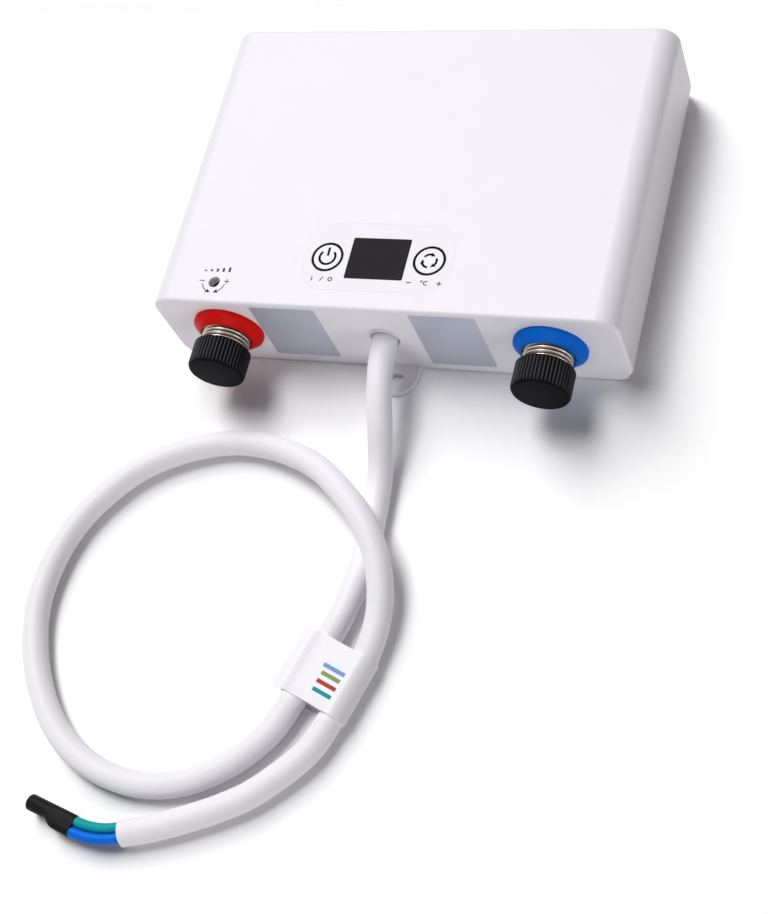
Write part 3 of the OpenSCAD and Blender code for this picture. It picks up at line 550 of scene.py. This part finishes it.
def band(left, right, low, high, loop=False):
    """Flat strip between two lines of points."""
    rows = [[(*a, low), (*b, low), (*b, high), (*a, high)] for a, b in zip(left, right)]
    return skin(rows, loop=loop, caps=not loop)


def arc(cx, cy, r, start, end, steps=32):
    turns = [math.radians(start + (end - start) * k / steps) for k in range(steps + 1)]
    return [(cx + r * math.cos(a), cy + r * math.sin(a)) for a in turns]


def arc_band(cx, cy, r, width, start, end, low, high, steps=32):
    return band(
        arc(cx, cy, r - width / 2, start, end, steps), arc(cx, cy, r + width / 2, start, end, steps), low, high
    )


def ring_band(cx, cy, inner, outer, low, high, steps=72):
    return band(
        arc(cx, cy, inner, 0, 360, steps)[:-1], arc(cx, cy, outer, 0, 360, steps)[:-1], low, high, loop=True
    )


def bar(x0, y0, x1, y1, low, high):
    return slab([(x0, y0), (x1, y0), (x1, y1), (x0, y1)], low, high)


def plus(cx, cy, half, width, low, high):
    """Plus sign of three bars that don't overlap."""
    w = width / 2
    return joined(
        bar(cx - half, cy - w, cx + half, cy + w, low, high),
        bar(cx - w, cy + w, cx + w, cy + half, low, high),
        bar(cx - w, cy - half, cx + w, cy - w, low, high),
    )


def polar(cx, cy, r, degrees):
    a = math.radians(degrees)
    return cx + r * math.cos(a), cy + r * math.sin(a)


def arrow_head(cx, cy, r, heel, tip, low, high):
    """Head on a circle, from a heel between two radii to its tip, in degrees."""
    angle, inner, outer = heel
    corners = [polar(cx, cy, inner, angle), polar(cx, cy, outer, angle), polar(cx, cy, r, tip)]
    return slab(corners, low, high)


def round_plate(w, h, r):
    return eased([(-w / 2, -h / 2, r), (w / 2, -h / 2, r), (w / 2, h / 2, r), (-w / 2, h / 2, r)])


def spline(points, steps):
    """Smooth line through the route's points."""
    out = []
    top = len(points) - 1
    for i in range(top):
        a, b, c, d = (Vector(points[min(max(k, 0), top)]) for k in (i - 1, i, i + 1, i + 2))
        for k in range(steps):
            t = k / steps
            out.append(
                0.5 * (2 * b + (c - a) * t + (2 * a - 5 * b + 4 * c - d) * t * t + (3 * b - a - 3 * c + d) * t ** 3)
            )
    return out + [Vector(points[-1])]


def cord_end_frame():
    """Frame of the sleeve: x away from the inside of the bend, z along the sleeve."""
    end = Vector(ROUTE[-1]) / MM
    way = Vector(ROUTE[-1]) - Vector(ROUTE[-2])
    turn = math.atan2(way.y, way.x) - math.pi / 2
    return (
        Matrix.Translation(end)
        @ Matrix.Rotation(turn, 4, "Z")
        @ Matrix.Translation((CORE_BEND, 0, 0))
        @ Matrix.Rotation(math.radians(180 - CORE_TURN), 4, "Z")
        @ Matrix.Translation((CORE_BEND, 0, 0))
        @ Matrix.Rotation(math.pi / 2, 4, "X")
    )


def tag_frame():
    """Frame of the tag: x across both strands, y up, z along them."""
    middle = (Vector(ROUTE[TAG_A]) + Vector(ROUTE[TAG_B])) / 2 / MM
    way = (Vector(ROUTE[TAG_A + 1]) - Vector(ROUTE[TAG_A - 1])).normalized()
    turn = math.atan2(way.y, way.x) + math.pi / 2
    return Matrix.Translation(middle) @ Matrix.Rotation(turn, 4, "Z") @ Matrix.Rotation(math.pi / 2, 4, "X")


def tree_with(name, inputs):
    """Empty geometry tree with named inputs."""
    tree = bpy.data.node_groups.new(name, "GeometryNodeTree")
    for label, kind in inputs:
        tree.interface.new_socket(name=label, in_out="INPUT", socket_type=kind)
    tree.interface.new_socket(name="Geometry", in_out="OUTPUT", socket_type="NodeSocketGeometry")
    return tree


def pattern_tree(name, ring):
    """Tree that repeats a part round a ring, or at the corners of a rectangle."""
    counts = [("Count", "NodeSocketInt"), ("Radius", "NodeSocketFloat")]
    spans = [("Width", "NodeSocketFloat"), ("Height", "NodeSocketFloat")]
    tree = tree_with(
        name, (counts if ring else spans) + [("Part", "NodeSocketObject"), ("Finish", "NodeSocketMaterial")]
    )
    add, link = tree.nodes.new, tree.links.new
    given = add("NodeGroupInput").outputs
    part = add("GeometryNodeObjectInfo")
    link(given["Part"], part.inputs["Object"])
    spread = add("GeometryNodeInstanceOnPoints")
    if ring:
        points = add("GeometryNodeMeshCircle")
        link(given["Count"], points.inputs["Vertices"])
        link(given["Radius"], points.inputs["Radius"])
        share = add("ShaderNodeMath")
        share.operation = "DIVIDE"
        share.inputs[0].default_value = 2 * math.pi
        link(given["Count"], share.inputs[1])
        turn = add("ShaderNodeMath")
        turn.operation = "MULTIPLY"
        link(add("GeometryNodeInputIndex").outputs[0], turn.inputs[0])
        link(share.outputs[0], turn.inputs[1])
        about = add("ShaderNodeCombineXYZ")
        link(turn.outputs[0], about.inputs["Z"])
        link(about.outputs[0], spread.inputs["Rotation"])
    else:
        points = add("GeometryNodeMeshGrid")
        points.inputs["Vertices X"].default_value = 2
        points.inputs["Vertices Y"].default_value = 2
        link(given["Width"], points.inputs["Size X"])
        link(given["Height"], points.inputs["Size Y"])
    link(points.outputs["Mesh"], spread.inputs["Points"])
    link(part.outputs["Geometry"], spread.inputs["Instance"])
    real = add("GeometryNodeRealizeInstances")
    link(spread.outputs[0], real.inputs[0])
    paint = add("GeometryNodeSetMaterial")
    link(real.outputs[0], paint.inputs["Geometry"])
    link(given["Finish"], paint.inputs["Material"])
    link(paint.outputs[0], add("NodeGroupOutput").inputs[0])
    return tree


def repeated(name, tree, part_shape, values, look, body, place=Matrix()):
    """Piece grown by a tree from one part, made plain and put in its place."""
    verts, faces = part_shape
    mesh = bpy.data.meshes.new(name + "_part")
    mesh.from_pydata([tuple(Vector(v) * MM) for v in verts], [], faces)
    part = bpy.data.objects.new(name + "_part", mesh)
    obj = bpy.data.objects.new(name, bpy.data.meshes.new(name))
    for item in (part, obj):
        bpy.context.scene.collection.objects.link(item)
    grow = obj.modifiers.new("grow", "NODES")
    grow.node_group = tree
    values = {**values, "Part": part, "Finish": finish(look)}
    for item in tree.interface.items_tree:
        if item.in_out == "INPUT":
            grow[item.identifier] = values[item.name]
    graph = bpy.context.evaluated_depsgraph_get()
    made = bpy.data.meshes.new_from_object(obj.evaluated_get(graph), depsgraph=graph)
    obj.modifiers.clear()
    obj.data = made
    bpy.data.objects.remove(part)
    move = place.copy()
    move.translation *= MM
    made.transform(move)
    if not made.materials:
        made.materials.append(finish(look))
    return dress(obj, body)


class HEATER_OT_camera(bpy.types.Operator):
    """Set the camera above the port side, a little to the right"""

    bl_idname = "heater.camera"
    bl_label = "Camera"

    def execute(self, context):
        data = bpy.data.cameras.new("view")
        data.sensor_fit = "HORIZONTAL"
        data.sensor_width = CAMERA_SENSOR
        data.lens = CAMERA_LENS
        data.clip_start = 0.01
        camera = bpy.data.objects.new("view", data)
        context.scene.collection.objects.link(camera)
        right = Vector(CAMERA_RIGHT).normalized()
        back = Vector(CAMERA_BACK).normalized()
        up = back.cross(right).normalized()
        turn = Matrix((right, up, back)).transposed().to_4x4()
        camera.matrix_world = Matrix.Translation(CAMERA_PLACE) @ turn
        context.scene.camera = camera
        return {"FINISHED"}


class HEATER_OT_cord_sleeve(bpy.types.Operator):
    """Shrink the black sleeve over the three cores at the cord's end"""

    bl_idname = "heater.cord_sleeve"
    bl_label = "Cord sleeve"

    def execute(self, context):
        core = sizes().core / MM
        reach = core / math.sqrt(3) + 0.04
        wall, slim, shift, lift = 0.25, 3.4, -1.2, 0.5
        centres = [Vector(polar(0, 0, reach, a)) for a in (30, 150, 270)]
        rows = []
        # Distance along the sleeve, share of the slim form, share of the full size
        stations = [(0.2, 0, 0.97), (0.6, 0, 1), (3, 0, 1), (6, 0, 1), (9, 0.06, 1), (10.5, 0.2, 1), (11.8, 0.46, 1)]
        stations += [(13, 0.76, 1), (14, 0.93, 1), (15.2, 1, 1), (18, 1, 1), (23.2, 1, 1), (23.7, 1, 0.96)]
        stations += [(23.95, 1, 0.89), (24, 1, 0.8)]
        for z, slimmed, size in stations:
            row = []
            for way in map(Vector, circle(60)):
                lead = max(centres, key=lambda c: c.dot(way))
                wide = lead + way * (core / 2 + wall)
                thin = Vector((shift, lift)) + way * slim
                middle = Vector((shift, lift)) * slimmed
                point = middle + (wide.lerp(thin, slimmed) - middle) * size
                row.append((point.x, point.y, z))
            rows.append(row)
        tip = [(shift, lift, 23.9)]
        inner = [(0.94 * x, 0.94 * y, z + 0.5) for x, y, z in rows[0]]
        base = [(0, 0, 1.2)]
        obj = piece("heat_shrunk_sleeve", skin([base, inner] + rows + [tip]), "sleeve_black", "housing",
                    place=cord_end_frame(), crease=50)
        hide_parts("end_sleeve")
        return {"FINISHED"}


class HEATER_OT_cord_tag(bpy.types.Operator):
    """Wrap the striped film tag round two strands of the cord"""

    bl_idname = "heater.cord_tag"
    bl_label = "Cord tag"

    def execute(self, context):
        thick = sizes().film / MM
        inside = sizes().cord / MM / 2 + 0.4
        place = tag_frame()
        across = place.to_3x3() @ Vector((1, 0, 0))
        half = abs((Vector(ROUTE[TAG_B]) - Vector(ROUTE[TAG_A])).dot(across)) / 2 / MM
        reach, flag, long, skew, sag = inside + thick / 2, 5.5, 27.0, 0.06, 0.12
        tip = -half - reach - flag
        fold = tip + flag - 1.2
        line = [(tip, thick / 2), (tip + 2, thick / 2), (fold, thick / 2 + 0.1)]
        line += [polar(-half, 0, reach, a) for a in range(158, 89, -8)]
        line += [(-half + 2 * half * k / 8, reach - sag * math.sin(math.pi * k / 8)) for k in range(1, 8)]
        line += [polar(half, 0, reach, a) for a in range(90, -91, -9)]
        line += [(half - 2 * half * k / 4, -reach) for k in range(1, 4)]
        line += [polar(-half, 0, reach, a) for a in range(270, 201, -8)]
        line += [(fold, -thick / 2 - 0.1), (tip + 2, -thick / 2), (tip, -thick / 2)]
        outer, inner = [], []
        for i, point in enumerate(line):
            way = (Vector(line[min(i + 1, len(line) - 1)]) - Vector(line[max(i - 1, 0)])).normalized()
            side = Vector((-way.y, way.x)) * thick / 2
            outer.append(Vector(point) + side)
            inner.append(Vector(point) - side)
        rows = []
        for k in range(13):
            z = -long / 2 + long * k / 12
            rows.append([(p.x, p.y, z + skew * p.x) for p in outer + inner[::-1]])
        obj = piece("cord_tag_film", skin(rows, caps=True), "tag_film", "housing", place=place, crease=40)
        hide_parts("cord_tag")
        top, print_half, print_thick = inside + thick + 0.02, 0.85, 0.05
        # Start and end across the strands, place along them
        stripes = {
            "sky": (-2.4, 8.1, -2.8), "olive": (-1.5, 7.6, 0.4), "red": (-1.6, 7.8, 3.9), "teal": (-1.4, 7.7, 7.5)
        }
        for name, (x0, x1, z) in stripes.items():
            rows = []
            for k in range(7):
                x = x0 + (x1 - x0) * k / 6
                dip = sag * math.sin(math.pi * (x + half) / (2 * half))
                low, high, along = top - dip - print_thick, top - dip, z + skew * x
                edges = ((low, -print_half), (low, print_half), (high, print_half), (high, -print_half))
                rows.append([(x, level, along + side) for level, side in edges])
            piece("tag_stripe_" + name, skin(rows, caps=True), "stripe_" + name, "housing",
                  place=place)
        return {"FINISHED"}


class HEATER_OT_cord(bpy.types.Operator):
    """Lay the supply cord along its route"""

    bl_idname = "heater.cord"
    bl_label = "Supply cord"

    def execute(self, context):
        radius = sizes().cord / MM / 2
        line = spline(ROUTE, 10)
        rows = []
        for i, point in enumerate(line):
            way = (line[min(i + 1, len(line) - 1)] - line[max(i - 1, 0)]).normalized()
            if i == 0:
                way = Vector((0, -1, 0))
            side = way.cross(Vector((0, 0, 1))).normalized()
            up = side.cross(way)
            rows.append([tuple(point / MM + side * radius * c + up * radius * d) for c, d in circle(28)])
        out = (line[-1] - line[-2]).normalized()
        middle = line[-1] / MM

        def drawn(row, size, forward):
            return [tuple(middle + (Vector(p) - middle) * size + out * forward) for p in row]

        last = rows[-1]
        rows[-1] = drawn(last, 1, -0.5)
        rows += [drawn(last, 0.985, -0.15), drawn(last, 0.94, 0), drawn(last, 0.86, 0), [tuple(middle)]]
        rows.insert(0, [tuple(line[0] / MM)])
        obj = piece("supply_cord_jacket", skin(rows), "cord_white", "housing", crease=60)
        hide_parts("supply_cord")
        whole = sum((b - a).length for a, b in zip(line, line[1:]))
        return {"FINISHED"}


class HEATER_OT_fittings(bpy.types.Operator):
    """Cut the pipe thread on both port fittings"""

    bl_idname = "heater.fittings"
    bl_label = "Port fittings"

    def execute(self, context):
        s = sizes()
        crest, depth, pitch, bore = s.thread / MM / 2, s.thread_depth / MM, s.pitch / MM, s.bore / MM / 2
        around = circle(96)
        start, end, count = 0.4, NIPPLE_OUT, 150
        pipe, flange, flange_in, flange_out, ease = 9, 14, 6, 4, 0.3

        def plain(r, z):
            return [(r * c, r * d, z) for c, d in around]

        def cut(z):
            row = []
            for k, (c, d) in enumerate(around):
                wave = 0.5 - 0.5 * math.cos(2 * math.pi * (z / pitch - k / len(around)))
                fade = min(1, max(0, (z - start) / pitch))
                r = crest - depth * (wave ** 1.15) * fade
                r = min(r, crest - max(0, z - (end - 1.1)) * 1.05)
                row.append((r * c, r * d, z))
            return row

        rows = [plain(pipe, -PIPE_IN), plain(pipe, -flange_in - 0.2), plain(pipe + 0.4, -flange_in)]
        rows += [plain(flange - ease, -flange_in), plain(flange, -flange_in + ease)]
        rows += [plain(flange, -flange_out - ease), plain(flange - ease, -flange_out), plain(crest, -flange_out)]
        rows += [cut(start + (end - start) * k / count) for k in range(count + 1)]
        rows += [plain(bore + 0.5, end), plain(bore, end - 0.5), plain(bore, -PIPE_IN)]
        for name, side in PORTS.items():
            shape = skin(rows, loop=True)
            if name == "hot":
                outer, socket, spindle = 4, 3.3, 2.06
                foot, ledge, top = 25, 32.2, 34
                bonnet = turned([
                    (outer, foot), (outer, top), (socket, top), (socket, ledge), (spindle, ledge), (spindle, foot),
                ], 48)
                place = port_frame(side).inverted() @ Matrix.Translation((FLOW_X, FLOW_Y, 0))
                shape = joined(shape, ([tuple(place @ Vector(v)) for v in bonnet[0]], bonnet[1]))
            obj = piece(name + "_threaded_fitting", shape, "port_metal", "housing", place=port_frame(side))
            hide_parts(name + "_fitting")
        return {"FINISHED"}


class HEATER_OT_port_rings(bpy.types.Operator):
    """Turn the red and the blue port ring"""

    bl_idname = "heater.port_rings"
    bl_label = "Port rings"

    def execute(self, context):
        outer = sizes().ring / MM / 2
        inner, collar, rim, height = 10.78, 11.7, 1.6, 5
        outline = eased([
            (inner, 0), (outer, 0), (outer, rim, 0.5), (collar, height, 0.6), (inner, height, 0.25),
        ])
        for name, side in PORTS.items():
            look = {"hot": "hot_red", "cold": "cold_blue"}[name]
            obj = piece(name + "_port_ring", turned(outline, 120), look, "housing", place=port_frame(side))
            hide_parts(name + "_ring")
        return {"FINISHED"}


class HEATER_OT_caps(bpy.types.Operator):
    """Turn both port caps and set their grip ribs"""

    bl_idname = "heater.caps"
    bl_label = "Port caps"

    def execute(self, context):
        s = sizes()
        height = s.rib_height / MM
        root = s.cap / MM / 2 - height
        inner = 10.58
        outline = eased([
            (0, CAP_TOP), (root, CAP_TOP, 0.9), (root, CAP_OPEN, 0.5),
            (inner, CAP_OPEN, 0.3), (inner, CAP_FLOOR, 0.3), (0, CAP_FLOOR),
        ])
        half, sunk = 0.95 / 2, 0.3
        rows = []
        for z, lift in ((10.5, 0.0), (10.7, 0.6), (11.2, 1.0), (21.2, 1.0), (21.7, 0.8), (22.0, 0.35), (22.2, 0.0)):
            crown = [(height * lift * math.sin(a), -half * math.cos(a)) for a in (math.pi * k / 6 for k in range(7))]
            rows.append([(x, y, z) for x, y in [(-sunk, -half), *crown, (-sunk, half)]])
        rib = skin(rows, caps=True)
        tree = pattern_tree("cap_ribs", ring=True)
        for name, side in PORTS.items():
            place = port_frame(side)
            obj = piece(name + "_cap_shell", turned(outline, 120), "cap_black", name + "_cap", place=place)
            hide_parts(name + "_cap")
            repeated(
                name + "_cap_ribs", tree, rib, {"Count": s.cap_ribs, "Radius": root * MM}, "rib_black",
                name + "_cap", place,
            )
        bpy.data.node_groups.remove(tree)
        return {"FINISHED"}


class HEATER_OT_gland(bpy.types.Operator):
    """Turn the collar that the cord leaves through"""

    bl_idname = "heater.gland"
    bl_label = "Cord gland"

    def execute(self, context):
        mouth = sizes().cord / MM / 2 + 0.05
        neck, flange, out, wall, deep = 6.9, 8.8, 0.8, -2.5, -4.9
        outline = eased([
            (6.5, out, 0.25), (7.1, out, 0.3), (7.45, 0), (neck, 0), (neck, wall),
            (flange, wall, 0.2), (flange, deep, 0.2), (mouth, deep), (mouth, wall - 0.2),
        ])
        place = Matrix(((1, 0, 0, 0), (0, 0, -1, FACE_Y), (0, 1, 0, GLAND_Z), (0, 0, 0, 1)))
        obj = piece("cord_collar", turned(outline), "white_shell", "housing", place=place)
        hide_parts("cord_gland")
        return {"FINISHED"}


class HEATER_OT_screws(bpy.types.Operator):
    """Set the cross-slotted screws in the back plate"""

    bl_idname = "heater.screws"
    bl_label = "Back screws"

    def execute(self, context):
        around = circle(40)
        face, shank, tip, arm, notch = 0.2, 1.45, 13.8, 1.45, 0.55
        outline = eased([(1.9, face, 0.4), (2.9, 0.9, 0.4), (2.9, 1.8), (shank, 1.8), (shank, 12.6), (0.6, tip)])
        head = [[(r * c, r * d, z) for c, d in around] for r, z in outline]
        cross = []
        for c, d in around:
            r = arm if max(abs(c), abs(d)) > 0.95 else notch
            cross.append((r * c, r * d, face))
        pit = [(0.7 * x, 0.7 * y, 1.1) for x, y, z in cross]
        screw = skin([[(0, 0, 1.2)], pit, cross] + head + [[(0, 0, tip)]])
        tree = pattern_tree("plate_screws", ring=False)
        values = {"Width": 2 * SCREW_X * MM, "Height": 2 * SCREW_Y * MM}
        obj = repeated("plate_screws", tree, screw, values, "screw_steel", "housing")
        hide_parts("cover_screws")
        bpy.data.node_groups.remove(tree)
        return {"FINISHED"}


class HEATER_OT_stickers(bpy.types.Operator):
    """Lay the two plain silver stickers on the port face"""

    bl_idname = "heater.stickers"
    bl_label = "Stickers"

    def execute(self, context):
        thick = sizes().sticker / MM
        # Side, place across and up the port face, width, height
        for name, x, z, w, h in (("left", -41.2, 24.4, 30.0, 37.7), ("right", 30.1, 23.9, 28.9, 38.6)):
            place = Matrix(((1, 0, 0, x), (0, 0, -1, FACE_Y), (0, 1, 0, z), (0, 0, 0, 1)))
            piece(name + "_sticker", slab(round_plate(w, h, 1.0), 0, thick), "silver_sticker", "housing",
                  place=place)
        return {"FINISHED"}


class HEATER_OT_panel_signs(bpy.types.Operator):
    """Print the key signs and the marks below them"""

    bl_idname = "heater.panel_signs"
    bl_label = "Panel signs"

    def execute(self, context):
        low, high = FRONT_Z, FRONT_Z + sizes().ink / MM
        left, right = PANEL_X - KEY_DX, PANEL_X + KEY_DX
        inner, outer, loop = 6.0, 7.05, 3.15
        power = joined(
            ring_band(left, PANEL_Y, inner, outer, low, high),
            arc_band(left, PANEL_Y, 3.5, 1.05, 136, 404, low, high, 48),
            bar(left - 0.5, PANEL_Y + 0.6, left + 0.5, PANEL_Y + 4.7, low, high),
        )
        piece("power_sign", power, "ink", "power_key")
        arrows = [ring_band(right, PANEL_Y, inner, outer, low, high)]
        for start in (145, 265, 25):
            arrows.append(arc_band(right, PANEL_Y, loop, 1.0, start, start - 66, low, high, 16))
            arrows.append(arrow_head(right, PANEL_Y, loop, (start - 62, 2.15, 4.2), start - 98, low, high))
        piece("temperature_sign", joined(*arrows), "ink", "temperature_key")
        y = MARKS_Y
        marks = joined(
            bar(left - 4.6, y - 1.0, left - 4.15, y + 1.0, low, high),
            slab([(left - 0.85, y - 1.1), (left - 0.4, y - 1.1), (left + 0.85, y + 1.1), (left + 0.4, y + 1.1)],
                 low, high),
            ring_band(left + 3.9, y, 0.6, 1.05, low, high, 32),
        )
        piece("power_marks", marks, "pale_ink", "housing")
        marks = joined(
            bar(right - 7.7, y - 0.23, right - 5.6, y + 0.23, low, high),
            ring_band(right - 1.1, y + 0.75, 0.22, 0.55, low, high, 24),
            arc_band(right + 0.9, y, 0.9, 0.45, 45, 315, low, high, 24),
            plus(right + 6.65, y, 1.05, 0.46, low, high),
        )
        piece("temperature_marks", marks, "pale_ink", "housing")
        return {"FINISHED"}


class HEATER_OT_flow_signs(bpy.types.Operator):
    """Print the marks round the flow-adjusting hole"""

    bl_idname = "heater.flow_signs"
    bl_label = "Flow signs"

    def execute(self, context):
        low, high = FRONT_Z, FRONT_Z + sizes().ink / MM
        shapes = []
        sweep = 5.2
        for start, end, ahead in ((190, 240, 262), (350, 300, 278)):
            shapes.append(arc_band(FLOW_X, FLOW_Y, sweep, 0.4, start, end, low, high, 16))
            shapes.append(arrow_head(FLOW_X, FLOW_Y, sweep, (end, 4.1, 6.2), ahead, low, high))
        shapes.append(bar(FLOW_X - 7.0, FLOW_Y + 0.3, FLOW_X - 4.6, FLOW_Y + 0.7, low, high))
        shapes.append(plus(FLOW_X + 5.8, FLOW_Y + 0.5, 1.2, 0.4, low, high))
        for k in range(5):
            x = FLOW_X - 5.6 + 2.8 * k
            shapes.append(bar(x - 0.5, FLOW_Y + 5.2, x + 0.5, FLOW_Y + 5.9 + 0.4 * k, low, high))
        piece("flow_signs", joined(*shapes), "pale_ink", "housing")
        return {"FINISHED"}


class HEATER_OT_finishes(bpy.types.Operator):
    """Give every solid that still shows the finish of its slot"""

    bl_idname = "heater.finishes"
    bl_label = "Finishes"

    def execute(self, context):
        for row in frame["record"]["subparts"]:
            mesh = frame["nodes"][row["node"]].data
            mesh.materials.clear()
            mesh.materials.append(finish(row["material_slot"]))
        return {"FINISHED"}


class HEATER_OT_stage(bpy.types.Operator):
    """Lay the pale floor and set the soft lights"""

    bl_idname = "heater.stage"
    bl_label = "Stage"

    def execute(self, context):
        scene = context.scene
        scene.view_settings.view_transform = "Standard"
        mesh = bpy.data.meshes.new("floor")
        corners = [(FLOOR_HALF * x, FLOOR_HALF * y, -FLOOR_DROP) for x, y in ((-1, -1), (1, -1), (1, 1), (-1, 1))]
        mesh.from_pydata(corners, [], [(0, 1, 2, 3)])
        look = Finish("stage_floor", specular_ior_level=0.0, roughness=1.0)
        look.set("Base Color", look.mix(look.seen(), FLOOR_BOUNCE, FLOOR_SEEN))
        mesh.materials.append(look.material)
        floor = bpy.data.objects.new("floor", mesh)
        scene.collection.objects.link(floor)
        world = bpy.data.worlds.new("studio")
        scene.world = world
        world.use_nodes = True
        sky = Graph(world.node_tree)
        strength = AMBIENT + (1 - AMBIENT) * sky.seen()
        glow = sky.node("ShaderNodeBackground", None, {"Color": (1, 0.995, 1, 1), "Strength": strength})
        out = sky.node("ShaderNodeOutputWorld")
        sky.tree.links.new(glow.outputs[0], out.inputs[0])
        for name, (way, energy, angle) in SUNS.items():
            lamp = bpy.data.lights.new(name, "SUN")
            lamp.energy = energy
            lamp.angle = math.radians(angle)
            obj = bpy.data.objects.new(name, lamp)
            obj.rotation_euler = Vector(way).to_track_quat("Z", "Y").to_euler()
            scene.collection.objects.link(obj)
        return {"FINISHED"}


STEPS = (
    HEATER_OT_camera, HEATER_OT_cord_sleeve, HEATER_OT_cord_tag, HEATER_OT_cord, HEATER_OT_fittings,
    HEATER_OT_port_rings, HEATER_OT_caps, HEATER_OT_gland, HEATER_OT_screws, HEATER_OT_stickers,
    HEATER_OT_panel_signs, HEATER_OT_flow_signs, HEATER_OT_finishes, HEATER_OT_stage,
)


class HEATER_PT_steps(bpy.types.Panel):
    """Steps that dress the heater"""

    bl_label = "Water heater"
    bl_idname = "HEATER_PT_steps"
    bl_space_type = "VIEW_3D"
    bl_region_type = "UI"
    bl_category = "Heater"

    def draw(self, context):
        for group in (context.scene.heater_sizes, context.scene.heater_colours):
            column = self.layout.column()
            for name in group.__annotations__:
                column.prop(group, name)
        for step in STEPS:
            self.layout.operator(step.bl_idname)


CLASSES = (HeaterSizes, HeaterColours, *STEPS, HEATER_PT_steps)


def register():
    for item in CLASSES:
        bpy.utils.register_class(item)
    bpy.types.Scene.heater_sizes = bpy.props.PointerProperty(type=HeaterSizes)
    bpy.types.Scene.heater_colours = bpy.props.PointerProperty(type=HeaterColours)


def unregister():
    del bpy.types.Scene.heater_colours
    del bpy.types.Scene.heater_sizes
    for item in reversed(CLASSES):
        bpy.utils.unregister_class(item)


def main():
    register()
    for step in STEPS:
        group, name = step.bl_idname.split(".")
        if getattr(getattr(bpy.ops, group), name)() != {"FINISHED"}:
            raise RuntimeError(step.bl_label + " did not finish")


if __name__ == "__main__":
    main()
